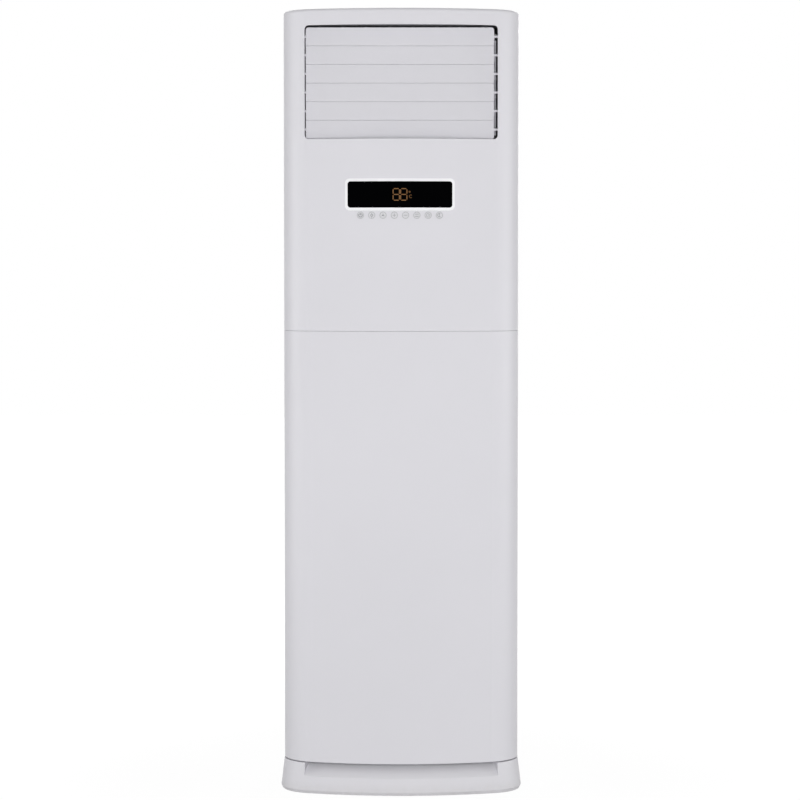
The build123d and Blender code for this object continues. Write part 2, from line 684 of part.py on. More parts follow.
with BuildPart() as wall_bracket:
    with BuildSketch(Plane.YZ):
        with BuildLine():
            Polyline(
                (BACK_Y, BRACKET_BOTTOM_Z),
                (BACK_Y, BRACKET_STEP_Z),
                (HALF_DEPTH - BRACKET_SHEET, BRACKET_STEP_Z),
                (HALF_DEPTH - BRACKET_SHEET, BRACKET_TOP_Z),
                (HALF_DEPTH, BRACKET_TOP_Z),
                (HALF_DEPTH, BRACKET_STEP_Z - BRACKET_SHEET),
                (BACK_Y + BRACKET_SHEET, BRACKET_STEP_Z - BRACKET_SHEET),
                (BACK_Y + BRACKET_SHEET, BRACKET_BOTTOM_Z),
                close=True,
            )
        make_face()
    extrude(amount=BRACKET_HALF_WIDTH, both=True)
    with BuildSketch(Plane.XZ.offset(-HALF_DEPTH)):
        with Locations((-BRACKET_HOLE_X, BRACKET_HOLE_Z), (BRACKET_HOLE_X, BRACKET_HOLE_Z)):
            Circle(BRACKET_HOLE_RADIUS)
    extrude(amount=2 * BRACKET_SHEET, mode=Mode.SUBTRACT)
    with BuildSketch(Plane.XZ.offset(-BACK_Y)):
        with Locations((-BRACKET_SCREW_X, BRACKET_SCREW_Z), (BRACKET_SCREW_X, BRACKET_SCREW_Z)):
            Circle(SCREW_HOLE_RADIUS)
    extrude(amount=-2 * BRACKET_SHEET, mode=Mode.SUBTRACT)
wall_bracket.part.label = "wall_bracket"
export_step(wall_bracket.part, "parts/wall_bracket.step")

plate_screws = [(s * SIDE_SCREW_X, z, BACK_Y) for s in (-1, 1) for z in lower_screw_zs + upper_screw_zs]
bracket_screws = [(s * BRACKET_SCREW_X, BRACKET_SCREW_Z, BACK_Y + BRACKET_SHEET) for s in (-1, 1)]
with BuildPart() as cabinet_screws:
    for x, z, seat_y in plate_screws + bracket_screws:
        with BuildSketch(Plane.XZ.offset(-seat_y)):
            with Locations((x, z)):
                Circle(SCREW_HEAD_RADIUS)
        extrude(amount=-SCREW_HEAD_HEIGHT, taper=20)
        with BuildSketch(Plane.XZ.offset(-seat_y)):
            with Locations((x, z)):
                Circle(SCREW_SHANK_RADIUS)
        extrude(amount=SCREW_LENGTH)
        with BuildSketch(Plane.XZ.offset(-seat_y - SCREW_HEAD_HEIGHT / 2)):
            with Locations((x, z)):
                Rectangle(SCREW_HEAD_RADIUS, SCREW_SLOT_WIDTH)
                Rectangle(SCREW_SLOT_WIDTH, SCREW_HEAD_RADIUS)
        extrude(amount=-SCREW_HEAD_HEIGHT, mode=Mode.SUBTRACT)
cabinet_screws.part.label = "cabinet_screws"
export_step(cabinet_screws.part, "parts/cabinet_screws.step")

# ---------------------------------------------------------------- outlet frame, blades and vanes
blade_zs = [BLADE_TOP_Z - BLADE_PITCH * (i + 0.5) for i in range(BLADE_COUNT)]
vane_xs = [(i - (VANE_COUNT - 1) / 2) * VANE_PITCH for i in range(VANE_COUNT)]
frame_z = (FRAME_TOP_Z + FRAME_BOTTOM_Z) / 2
frame_height = FRAME_TOP_Z - FRAME_BOTTOM_Z
bulkhead_half_width = CABINET_HALF_WIDTH - SHEET - SEAM

with BuildPart() as outlet_frame:
    with BuildSketch(Plane.XZ.offset(-FRAME_BACK_Y)):
        with Locations((0, frame_z)):
            RectangleRounded(
                2 * (FRAME_HALF_WIDTH + FRAME_WALL),
                frame_height + 2 * FRAME_WALL,
                FRAME_CORNER_RADIUS + FRAME_WALL,
            )
    extrude(amount=HALF_DEPTH + FRAME_BACK_Y)
    add(skin_behind, mode=Mode.INTERSECT)
    with BuildSketch(Plane.XZ.offset(-FRAME_BACK_Y)):
        with Locations((0, BULKHEAD_Z)):
            Rectangle(2 * bulkhead_half_width, BULKHEAD_HEIGHT)
    extrude(amount=-PANEL_WALL)
    with BuildSketch(Plane.XZ):
        with Locations((0, frame_z)):
            RectangleRounded(2 * FRAME_HALF_WIDTH, frame_height, FRAME_CORNER_RADIUS)
    extrude(amount=HALF_DEPTH, mode=Mode.SUBTRACT)
    with BuildSketch(Plane.YZ):
        with Locations(*[(BLADE_AXIS_Y, z) for z in blade_zs]):
            Circle(BLADE_PIN_RADIUS + PIN_CLEARANCE)
    extrude(amount=HALF_DEPTH * 2, both=True, mode=Mode.SUBTRACT)
    with BuildSketch(Plane.XY.offset(FRAME_BOTTOM_Z - 2 * FRAME_WALL)):
        with Locations(*[(x, VANE_AXIS_Y) for x in vane_xs]):
            Circle(VANE_PIN_RADIUS + PIN_CLEARANCE)
    extrude(amount=HEIGHT - FRAME_BOTTOM_Z, mode=Mode.SUBTRACT)
outlet_frame.part.label = "outlet_frame"
export_step(outlet_frame.part, "parts/outlet_frame.step")

crank_y = CRANK_RADIUS * math.cos(math.radians(CRANK_REST_DEG))
crank_z = CRANK_RADIUS * math.sin(math.radians(CRANK_REST_DEG))
half = BLADE_PITCH / 2 - BLADE_SEAM / 2
front = BLADE_AXIS_Y - BLADE_THICKNESS / 2
back = BLADE_AXIS_Y + BLADE_THICKNESS / 2
field_bottom_z = BLADE_TOP_Z - BLADE_COUNT * BLADE_PITCH - LIP_LAP

# outline of all closed blades together, with rounded outer corners
with BuildPart() as blade_field:
    with BuildSketch(Plane.XZ.offset(-back)):
        with Locations(((BLADE_LEFT_X + BLADE_RIGHT_X) / 2, (BLADE_TOP_Z + field_bottom_z) / 2)):
            RectangleRounded(
                BLADE_RIGHT_X - BLADE_LEFT_X, BLADE_TOP_Z - field_bottom_z, BLADE_CORNER_RADIUS
            )
    extrude(amount=BLADE_THICKNESS)

for index, z in enumerate(blade_zs, start=1):
    rear_top = z + half - LIP_LAP - FIT_GAP
    rear_bottom = z - half - LIP_LAP
    with BuildPart() as blade:
        # the top edge keeps a lip in front, the bottom edge a lip behind, so closed blades overlap
        with BuildSketch(Plane.YZ.offset(BLADE_LEFT_X)):
            with BuildLine():
                Polyline(
                    (front + BLADE_EASE, z - half),
                    (front, z - half + BLADE_EASE),
                    (front, z + half - BLADE_EASE),
                    (front + BLADE_EASE, z + half),
                    (front + FRONT_LIP, z + half),
                    (front + FRONT_LIP, rear_top),
                    (back, rear_top),
                    (back, rear_bottom),
                    (back - REAR_LIP, rear_bottom),
                    (back - REAR_LIP, z - half),
                    close=True,
                )
            make_face()
        extrude(amount=BLADE_RIGHT_X - BLADE_LEFT_X)
        add(blade_field.part, mode=Mode.INTERSECT)
        with BuildSketch(Plane.YZ.offset(BLADE_LEFT_X)):
            with Locations((BLADE_AXIS_Y, z)):
                Circle(BLADE_PIN_RADIUS)
        extrude(amount=-(FRAME_HALF_WIDTH + FRAME_WALL + BLADE_LEFT_X))
        with BuildSketch(Plane.YZ.offset(BLADE_RIGHT_X)):
            with Locations((BLADE_AXIS_Y + crank_y / 2, z + crank_z / 2)):
                SlotCenterToCenter(CRANK_RADIUS, LINK_WIDTH, rotation=CRANK_REST_DEG)
        extrude(amount=ARM_THICKNESS)
        with BuildSketch(Plane.YZ.offset(BLADE_RIGHT_X)):
            with Locations((BLADE_AXIS_Y, z)):
                Circle(BLADE_PIN_RADIUS)
        extrude(amount=FRAME_HALF_WIDTH + FRAME_WALL - BLADE_RIGHT_X)
        with BuildSketch(Plane.YZ.offset(BLADE_RIGHT_X)):
            with Locations((BLADE_AXIS_Y + crank_y, z + crank_z)):
                Circle(CRANK_PIN_RADIUS)
        extrude(amount=CRANK_PIN_LENGTH)
        if index == DRIVEN_BLADE:
            with BuildSketch(Plane.YZ.offset(FRAME_HALF_WIDTH + FRAME_WALL)):
                with Locations((BLADE_AXIS_Y, z)):
                    Circle(DRIVE_PIN_RADIUS)
            extrude(amount=DRIVE_REACH)
    blade.part.label = f"louvre_blade_{index}"
    export_step(blade.part, f"parts/louvre_blade_{index}.step")

crank_places = [(BLADE_AXIS_Y + crank_y, z + crank_z) for z in blade_zs]
with BuildPart() as louvre_link:
    with BuildSketch(Plane.YZ.offset(BLADE_RIGHT_X + ARM_THICKNESS + LINK_GAP)):
        with Locations((BLADE_AXIS_Y + crank_y, (blade_zs[0] + blade_zs[-1]) / 2 + crank_z)):
            SlotCenterToCenter(blade_zs[0] - blade_zs[-1], LINK_WIDTH, rotation=90)
        with Locations(*crank_places):
            Circle(CRANK_PIN_RADIUS + PIN_CLEARANCE, mode=Mode.SUBTRACT)
    extrude(amount=PANEL_WALL)
louvre_link.part.label = "louvre_link"
export_step(louvre_link.part, "parts/louvre_link.step")

with BuildPart() as louvre_motor:
    motor_x = FRAME_HALF_WIDTH + FRAME_WALL
    drive_z = blade_zs[DRIVEN_BLADE - 1]
    can_y = BLADE_AXIS_Y + MOTOR_CAN_OFFSET
    with BuildSketch(Plane.YZ.offset(motor_x)):
        with Locations((can_y, drive_z - MOTOR_EAR_REACH), (can_y, drive_z + MOTOR_EAR_REACH)):
            Circle(MOTOR_EAR_RADIUS)
    extrude(amount=MOTOR_STAND)
    with BuildSketch(Plane.YZ.offset(motor_x + MOTOR_STAND)):
        with Locations((can_y, drive_z)):
            SlotCenterToCenter(2 * MOTOR_EAR_REACH, 2 * MOTOR_EAR_RADIUS, rotation=90)
    extrude(amount=SHEET)
    with BuildSketch(Plane.YZ.offset(motor_x + MOTOR_STAND)):
        with Locations((can_y, drive_z)):
            Circle(MOTOR_CAN_RADIUS)
    extrude(amount=MOTOR_CAN_LENGTH)
    with BuildSketch(Plane.YZ.offset(motor_x + MOTOR_STAND)):
        with Locations((BLADE_AXIS_Y, drive_z)):
            Circle(DRIVE_PIN_RADIUS + PIN_CLEARANCE)
    extrude(amount=MOTOR_BORE_DEPTH, mode=Mode.SUBTRACT)
louvre_motor.part.label = "louvre_motor"
export_step(louvre_motor.part, "parts/louvre_motor.step")

for index, x in enumerate(vane_xs, start=1):
    with BuildPart() as vane:
        with BuildSketch(Plane.XY.offset(VANE_BOTTOM_Z)):
            with Locations((x, VANE_AXIS_Y)):
                Ellipse(VANE_THICKNESS / 2, VANE_CHORD / 2)
                Circle(VANE_PIN_RADIUS)
        extrude(amount=VANE_TOP_Z - VANE_BOTTOM_Z)
        with BuildSketch(Plane.XY.offset(VANE_TOP_Z)):
            with Locations((x, VANE_AXIS_Y)):
                Circle(VANE_PIN_RADIUS)
        extrude(amount=FRAME_TOP_Z + FRAME_WALL - VANE_TOP_Z)
        with BuildSketch(Plane.XY.offset(VANE_BOTTOM_Z)):
            with Locations((x, VANE_AXIS_Y)):
                Circle(VANE_PIN_RADIUS)
        extrude(amount=FRAME_BOTTOM_Z - FRAME_WALL - VANE_BOTTOM_Z)
        with BuildSketch(Plane.XY.offset(VANE_BOTTOM_Z)):
            with Locations((x, VANE_AXIS_Y + VANE_CRANK_RADIUS)):
                Circle(VANE_CRANK_PIN_RADIUS)
        extrude(amount=-VANE_CRANK_PIN_LENGTH)
        if index == DRIVEN_VANE:
            with BuildSketch(Plane.XY.offset(FRAME_BOTTOM_Z - FRAME_WALL)):
                with Locations((x, VANE_AXIS_Y)):
                    Circle(DRIVE_PIN_RADIUS)
            extrude(amount=-DRIVE_REACH)
    vane.part.label = f"outlet_vane_{index}"
    export_step(vane.part, f"parts/outlet_vane_{index}.step")

with BuildPart() as vane_link:
    with BuildSketch(Plane.XY.offset(VANE_LINK_BOTTOM_Z)):
        with Locations((0, VANE_AXIS_Y + VANE_CRANK_RADIUS)):
            SlotCenterToCenter(vane_xs[-1] - vane_xs[0], VANE_LINK_WIDTH)
        with Locations(*[(x, VANE_AXIS_Y + VANE_CRANK_RADIUS) for x in vane_xs]):
            Circle(VANE_CRANK_PIN_RADIUS + PIN_CLEARANCE, mode=Mode.SUBTRACT)
    extrude(amount=VANE_LINK_HEIGHT)
vane_link.part.label = "vane_link"
export_step(vane_link.part, "parts/vane_link.step")

with BuildPart() as vane_motor:
    motor_z = FRAME_BOTTOM_Z - FRAME_WALL
    drive_x = vane_xs[DRIVEN_VANE - 1]
    can_y = VANE_AXIS_Y + MOTOR_CAN_OFFSET
    with BuildSketch(Plane.XY.offset(motor_z)):
        with Locations((drive_x - MOTOR_EAR_REACH, can_y), (drive_x + MOTOR_EAR_REACH, can_y)):
            Circle(MOTOR_EAR_RADIUS)
    extrude(amount=-MOTOR_STAND)
    with BuildSketch(Plane.XY.offset(motor_z - MOTOR_STAND)):
        with Locations((drive_x, can_y)):
            SlotCenterToCenter(2 * MOTOR_EAR_REACH, 2 * MOTOR_EAR_RADIUS)
    extrude(amount=-SHEET)
    with BuildSketch(Plane.XY.offset(motor_z - MOTOR_STAND)):
        with Locations((drive_x, can_y)):
            Circle(MOTOR_CAN_RADIUS)
    extrude(amount=-MOTOR_CAN_LENGTH)
    with BuildSketch(Plane.XY.offset(motor_z - MOTOR_STAND)):
        with Locations((drive_x, VANE_AXIS_Y)):
            Circle(DRIVE_PIN_RADIUS + PIN_CLEARANCE)
    extrude(amount=-MOTOR_BORE_DEPTH, mode=Mode.SUBTRACT)
vane_motor.part.label = "vane_motor"
export_step(vane_motor.part, "parts/vane_motor.step")

# ---------------------------------------------------------------- side cassettes
for side, grille_name, filter_name in (
    (-1, "inlet_grille_left", "air_filter_left"),
    (1, "inlet_grille_right", "air_filter_right"),
):
    with BuildPart() as grille:
        with BuildSketch(Plane.YZ.offset(side * (CABINET_HALF_WIDTH - GRILLE_DEPTH))):
            with Locations((CASSETTE_Y, CASSETTE_Z)):
                RectangleRounded(CASSETTE_WIDTH, CASSETTE_HEIGHT, CASSETTE_CORNER)
                with GridLocations(SLOT_PITCH_Y, SLOT_PITCH_Z, SLOT_COLUMNS, SLOT_ROWS):
                    Rectangle(SLOT_WIDTH, SLOT_HEIGHT, mode=Mode.SUBTRACT)
        extrude(amount=side * GRILLE_DEPTH)
    grille.part.label = grille_name
    export_step(grille.part, f"parts/{grille_name}.step")

    with BuildPart() as air_filter:
        with BuildSketch(Plane.YZ.offset(side * (CABINET_HALF_WIDTH - GRILLE_DEPTH - FILTER_DEPTH))):
            with Locations((CASSETTE_Y, CASSETTE_Z)):
                RectangleRounded(
                    CASSETTE_WIDTH - 2 * FILTER_INSET, CASSETTE_HEIGHT - 2 * FILTER_INSET, CASSETTE_CORNER
                )
                with GridLocations(FILTER_PITCH_Y, FILTER_PITCH_Z, FILTER_COLUMNS, FILTER_ROWS):
                    Rectangle(FILTER_CELL_WIDTH, FILTER_CELL_HEIGHT, mode=Mode.SUBTRACT)
        extrude(amount=side * FILTER_DEPTH)
        with BuildSketch(Plane.YZ.offset(side * (CABINET_HALF_WIDTH - GRILLE_DEPTH - FILTER_DEPTH / 2))):
            with Locations((CASSETTE_Y, CASSETTE_Z)):
                Rectangle(CASSETTE_WIDTH - 4 * FILTER_INSET, CASSETTE_HEIGHT - 4 * FILTER_INSET)
        extrude(amount=side * MESH_THICKNESS)
    air_filter.part.label = filter_name
    export_step(air_filter.part, f"parts/{filter_name}.step")

# ---------------------------------------------------------------- blower
def scroll_plan(grow=0.0):
    """Front view of the blower's air path: a spiral that widens as it turns, then a duct upwards."""
    points = []
    for i in range(SCROLL_POINTS):
        part = i / (SCROLL_POINTS - 1)
        angle = math.radians(SCROLL_START_DEG - SCROLL_SWEEP_DEG * part)
        radius = SCROLL_START_RADIUS + (SCROLL_END_RADIUS - SCROLL_START_RADIUS) * part + grow
        points.append((radius * math.cos(angle), BLOWER_Z + radius * math.sin(angle)))
    with BuildLine() as outline:
        Spline(*points)
        Polyline(
            points[-1],
            (points[-1][0], SCROLL_TOP_Z),
            (DUCT_RIGHT_X + grow, SCROLL_TOP_Z),
            points[0],
        )
    make_face(outline.edges())


with BuildPart() as scroll_casing:
    with BuildSketch(Plane.XZ.offset(-SCROLL_BACK_Y)):
        scroll_plan(SCROLL_WALL)
    extrude(amount=SCROLL_BACK_Y - SCROLL_FRONT_Y - SCROLL_WALL)
    # two feet down to the base pan
    with BuildSketch(Plane.XZ.offset(-SCROLL_BACK_Y)):
        with Locations((-FOOT_X, FOOT_Z), (FOOT_X, FOOT_Z)):
            Rectangle(FOOT_THICKNESS, 2 * (FOOT_Z - PLINTH_TOP_Z - SHEET))
    extrude(amount=SCROLL_BACK_Y - SCROLL_FRONT_Y - SCROLL_WALL)
    with BuildSketch(Plane.XZ.offset(-SCROLL_BACK_Y + SCROLL_WALL)):
        scroll_plan()
    extrude(amount=SCROLL_BACK_Y - SCROLL_FRONT_Y, mode=Mode.SUBTRACT)
    with BuildSketch(Plane.XZ.offset(-SCROLL_BACK_Y)):
        with Locations((0, BLOWER_Z)):
            Circle(SHAFT_OPENING_RADIUS)
    extrude(amount=2 * SCROLL_WALL, mode=Mode.SUBTRACT)
    # the duct's top end is open
    with BuildSketch(Plane.XZ.offset(-SCROLL_BACK_Y + SCROLL_WALL)):
        with Locations(((DUCT_RIGHT_X - SCROLL_END_RADIUS) / 2, SCROLL_TOP_Z)):
            Rectangle(DUCT_RIGHT_X + SCROLL_END_RADIUS - 2 * DUCT_LIP, 4 * SCROLL_WALL)
    extrude(amount=SCROLL_BACK_Y - SCROLL_FRONT_Y, mode=Mode.SUBTRACT)
scroll_casing.part.label = "scroll_casing"
export_step(scroll_casing.part, "parts/scroll_casing.step")

with BuildPart() as inlet_ring:
    with BuildSketch(Plane.XZ.offset(-SCROLL_FRONT_Y - SCROLL_WALL)):
        scroll_plan(SCROLL_WALL)
    extrude(amount=SCROLL_WALL)
    with BuildSketch(Plane.XZ.offset(-SCROLL_FRONT_Y)):
        with Locations((0, BLOWER_Z)):
            Circle(INLET_RADIUS + INLET_FLARE)
    extrude(amount=-INLET_DEPTH)
    with BuildSketch(Plane.XZ.offset(-SCROLL_FRONT_Y)):
        with Locations((0, BLOWER_Z)):
            Circle(INLET_RADIUS)
    extrude(amount=2 * INLET_DEPTH, both=True, mode=Mode.SUBTRACT)
    fillet(inlet_ring.edges().filter_by(GeomType.CIRCLE).sort_by(Axis.Y)[0:1], radius=SCROLL_WALL - 1.0)
inlet_ring.part.label = "inlet_ring"
export_step(inlet_ring.part, "parts/inlet_ring.step")

with BuildSketch() as wheel_blade:
    with BuildLine():
        CenterArc((3.0, 15.0), 17.0, 208.0, 94.0)
    trace(line_width=WHEEL_BLADE_THICKNESS)

with BuildPart() as blower_wheel:
    with BuildSketch(Plane.XZ.offset(-WHEEL_BACK_Y)):
        with Locations((0, BLOWER_Z)):
            Circle(WHEEL_RADIUS)
    extrude(amount=WHEEL_DISC)
    with BuildSketch(Plane.XZ.offset(-WHEEL_BACK_Y)):
        with Locations((0, BLOWER_Z)):
            Circle(HUB_RADIUS)
    extrude(amount=HUB_LENGTH)
    with BuildSketch(Plane.XZ.offset(-WHEEL_BACK_Y)):
        with Locations((0, BLOWER_Z)):
            with PolarLocations(WHEEL_BLADE_MIDDLE, WHEEL_BLADE_COUNT):
                add(wheel_blade.sketch)
    extrude(amount=WHEEL_BACK_Y - WHEEL_FRONT_Y)
    with BuildSketch(Plane.XZ.offset(-WHEEL_FRONT_Y - WHEEL_RING)):
        with Locations((0, BLOWER_Z)):
            Circle(WHEEL_RADIUS)
            Circle(WHEEL_RING_INNER, mode=Mode.SUBTRACT)
    extrude(amount=WHEEL_RING)
    with BuildSketch(Plane.XZ.offset(-WHEEL_BACK_Y)):
        with Locations((0, BLOWER_Z)):
            Circle(SHAFT_RADIUS)
    extrude(amount=HUB_LENGTH + WHEEL_DISC, mode=Mode.SUBTRACT)
blower_wheel.part.label = "blower_wheel"
export_step(blower_wheel.part, "parts/blower_wheel.step")

with BuildPart() as motor_shaft:
    with BuildSketch(Plane.XZ.offset(-MOTOR_FRONT_Y - SHAFT_IN_MOTOR)):
        with Locations((0, BLOWER_Z)):
            Circle(SHAFT_RADIUS)
    extrude(amount=MOTOR_FRONT_Y + SHAFT_IN_MOTOR - WHEEL_BACK_Y + SHAFT_IN_WHEEL)
motor_shaft.part.label = "motor_shaft"
export_step(motor_shaft.part, "parts/motor_shaft.step")

with BuildPart() as blower_motor:
    with BuildSketch(Plane.XZ.offset(-MOTOR_FRONT_Y - MOTOR_LENGTH)):
        with Locations((0, BLOWER_Z)):
            Circle(MOTOR_RADIUS)
    extrude(amount=MOTOR_LENGTH)
    fillet(blower_motor.edges().filter_by(GeomType.CIRCLE), radius=MOTOR_EDGE_RADIUS)
    with BuildSketch(Plane.XZ.offset(-MOTOR_FRONT_Y)):
        with Locations((0, BLOWER_Z)):
            Circle(HUB_RADIUS)
    extrude(amount=MOTOR_BOSS)
    with BuildSketch(Plane.XZ.offset(-MOTOR_FRONT_Y - SHAFT_IN_MOTOR - 1.0)):
        with Locations((0, BLOWER_Z)):
            Circle(SHAFT_RADIUS + PIN_CLEARANCE)
    extrude(amount=MOTOR_LENGTH, mode=Mode.SUBTRACT)
blower_motor.part.label = "blower_motor"
export_step(blower_motor.part, "parts/blower_motor.step")

with BuildPart() as motor_bracket:
    with BuildSketch(Plane.XZ.offset(-MOTOR_FRONT_Y)):
        with Locations((0, BLOWER_Z)):
            RectangleRounded(BRACKET_PLATE, BRACKET_PLATE, BRACKET_PLATE_CORNER)
            Circle(HUB_RADIUS + FIT_GAP, mode=Mode.SUBTRACT)
    extrude(amount=BRACKET_PLATE_THICKNESS)
    with BuildSketch(Plane.XZ.offset(-MOTOR_FRONT_Y + BRACKET_PLATE_THICKNESS)):
        with Locations((0, BLOWER_Z)):
            with GridLocations(SPACER_PITCH, SPACER_PITCH, 2, 2):
                Circle(SPACER_RADIUS)
    extrude(amount=MOTOR_FRONT_Y - BRACKET_PLATE_THICKNESS - SCROLL_BACK_Y)
motor_bracket.part.label = "motor_bracket"
export_step(motor_bracket.part, "parts/motor_bracket.step")

# ---------------------------------------------------------------- cooling coil
lean = math.radians(COIL_LEAN_DEG)
lean_sin = math.sin(lean)
lean_cos = math.cos(lean)
coil_y = COIL_FOOT_Y + lean_sin * COIL_LENGTH / 2
coil_z = COIL_FOOT_Z + lean_cos * COIL_LENGTH / 2
coil_section = Plane(origin=(0, COIL_FOOT_Y, COIL_FOOT_Z), x_dir=(1, 0, 0), z_dir=(0, lean_sin, lean_cos))
fin_count = int(COIL_WIDTH / FIN_PITCH)


def coil_point(x, along):
    """Point on the coil's middle plane, at along millimetres above its centre."""
    return (x, coil_y + lean_sin * along, coil_z + lean_cos * along)


with BuildPart() as evaporator_fins:
    with BuildSketch(coil_section):
        Rectangle(COIL_WIDTH, COIL_CORE)
        with GridLocations(FIN_PITCH, 0, fin_count, 1):
            Rectangle(FIN_THICKNESS, COIL_THICKNESS)
    extrude(amount=COIL_LENGTH)
evaporator_fins.part.label = "evaporator_fins"
export_step(evaporator_fins.part, "parts/evaporator_fins.step")

with BuildPart() as evaporator_end_plates:
    with BuildSketch(coil_section):
        for side in (-1, 1):
            with Locations((side * (COIL_WIDTH / 2 + SHEET / 2), 0)):
                Rectangle(SHEET, END_PLATE_WIDTH)
    extrude(amount=COIL_LENGTH)
    # baffles along the front edges keep the air from passing beside the coil
    with BuildSketch(coil_section.offset(BAFFLE_FOOT)):
        for side in (-1, 1):
            with Locations((side * (COIL_WIDTH + BAFFLE_WIDTH) / 2, -(END_PLATE_WIDTH - SHEET) / 2)):
                Rectangle(BAFFLE_WIDTH, SHEET)
    extrude(amount=COIL_LENGTH - BAFFLE_FOOT)
evaporator_end_plates.part.label = "evaporator_end_plates"
export_step(evaporator_end_plates.part, "parts/evaporator_end_plates.step")

bend_rows = [BEND_FIRST_ROW + BEND_PITCH * i for i in range(BEND_COUNT)]
plate_face_x = COIL_WIDTH / 2 + SHEET


def tube_run(path_points, radii, radius):
    """Round pipe along straight runs joined by bends."""
    with BuildPart() as run:
        with BuildLine() as path:
            FilletPolyline(*path_points, radius=radii)
        with BuildSketch(Plane(origin=path.line @ 0, z_dir=path.line % 0)):
            Circle(radius)
        sweep()
    return run.part


with BuildPart() as evaporator_tubes:
    for side in (-1, 1):
        for row in bend_rows:
            if side == 1 and row in (GAS_ROW, LIQUID_ROW):
                continue
            start = coil_point(side * plate_face_x, row - BEND_RADIUS)
            out_low = coil_point(side * (plate_face_x + BEND_RADIUS), row - BEND_RADIUS)
            out_high = coil_point(side * (plate_face_x + BEND_RADIUS), row + BEND_RADIUS)
            end = coil_point(side * plate_face_x, row + BEND_RADIUS)
            add(tube_run([start, out_low, out_high, end], BEND_RADIUS * 0.9, TUBE_RADIUS))
    gas_start = coil_point(plate_face_x, GAS_ROW)
    liquid_start = coil_point(plate_face_x, LIQUID_ROW)
    gas_turn = (GAS_PIPE_X, gas_start[1], gas_start[2])
    liquid_turn = (LIQUID_PIPE_X, liquid_start[1], liquid_start[2])
    gas_end = (GAS_PIPE_X, gas_start[1], PIPE_END_Z)
    liquid_end = (LIQUID_PIPE_X, liquid_start[1], PIPE_END_Z)
    add(tube_run([gas_start, gas_turn, gas_end], GAS_PIPE_BEND, GAS_PIPE_RADIUS))
    add(tube_run([liquid_start, liquid_turn, liquid_end], LIQUID_PIPE_BEND, LIQUID_PIPE_RADIUS))
    # flare nuts at the lower ends
    with BuildSketch(Plane.XY.offset(PIPE_END_Z)):
        with Locations((GAS_PIPE_X, gas_start[1])):
            RegularPolygon(GAS_NUT_RADIUS, 6)
        with Locations((LIQUID_PIPE_X, liquid_start[1])):
            RegularPolygon(LIQUID_NUT_RADIUS, 6)
    extrude(amount=NUT_LENGTH)
evaporator_tubes.part.label = "evaporator_tubes"
export_step(evaporator_tubes.part, "parts/evaporator_tubes.step")

tray_y = (TRAY_FRONT_Y + TRAY_BACK_Y) / 2
tray_depth = TRAY_BACK_Y - TRAY_FRONT_Y
with BuildPart() as drip_tray:
    with BuildSketch(Plane.XY.offset(TRAY_BOTTOM_Z)):
        with Locations((0, tray_y)):
            RectangleRounded(2 * TRAY_HALF_WIDTH, tray_depth, TRAY_CORNER)
    extrude(amount=TRAY_TOP_Z - TRAY_BOTTOM_Z)
    with BuildSketch(Plane.XY.offset(TRAY_BOTTOM_Z + TRAY_WALL)):
        with Locations((0, tray_y)):
            RectangleRounded(
                2 * (TRAY_HALF_WIDTH - TRAY_WALL), tray_depth - 2 * TRAY_WALL, TRAY_CORNER - TRAY_WALL
            )
    extrude(amount=TRAY_TOP_Z - TRAY_BOTTOM_Z, mode=Mode.SUBTRACT)
    with BuildSketch(Plane.XY.offset(TRAY_TOP_Z - TRAY_TAB_THICKNESS)):
        for side in (-1, 1):
            tab_x = side * (TRAY_HALF_WIDTH - 0.5 + TRAY_TAB_REACH / 2)
            with Locations((tab_x, TRAY_BACK_Y - TRAY_TAB_DEPTH / 2 - 1.0)):
                Rectangle(TRAY_TAB_REACH, TRAY_TAB_DEPTH)
    extrude(amount=TRAY_TAB_THICKNESS)
    with BuildSketch(Plane.XY.offset(TRAY_BOTTOM_Z)):
        with Locations((SPOUT_X, SPOUT_Y)):
            Circle(SPOUT_RADIUS)
    extrude(amount=-SPOUT_LENGTH)
    with BuildSketch(Plane.XY.offset(TRAY_BOTTOM_Z + TRAY_WALL)):
        with Locations((SPOUT_X, SPOUT_Y)):
            Circle(SPOUT_BORE_RADIUS)
    extrude(amount=-2 * SPOUT_LENGTH, mode=Mode.SUBTRACT)
drip_tray.part.label = "drip_tray"
export_step(drip_tray.part, "parts/drip_tray.step")

# ---------------------------------------------------------------- electrics
with BuildPart() as electric_box:
    with BuildSketch(Plane.XZ.offset(-SCROLL_FRONT_Y)):
        with Locations((BOX_X, BOX_Z)):
            RectangleRounded(BOX_WIDTH, BOX_HEIGHT, BOX_CORNER)
    extrude(amount=SCROLL_FRONT_Y - BOX_FRONT_Y)
    with BuildSketch(Plane.XZ.offset(-SCROLL_FRONT_Y + SHEET)):
        with Locations((BOX_X, BOX_Z)):
            RectangleRounded(BOX_WIDTH - 2 * SHEET, BOX_HEIGHT - 2 * SHEET, BOX_CORNER - SHEET)
    extrude(amount=SCROLL_FRONT_Y - BOX_FRONT_Y, mode=Mode.SUBTRACT)
electric_box.part.label = "electric_box"
export_step(electric_box.part, "parts/electric_box.step")

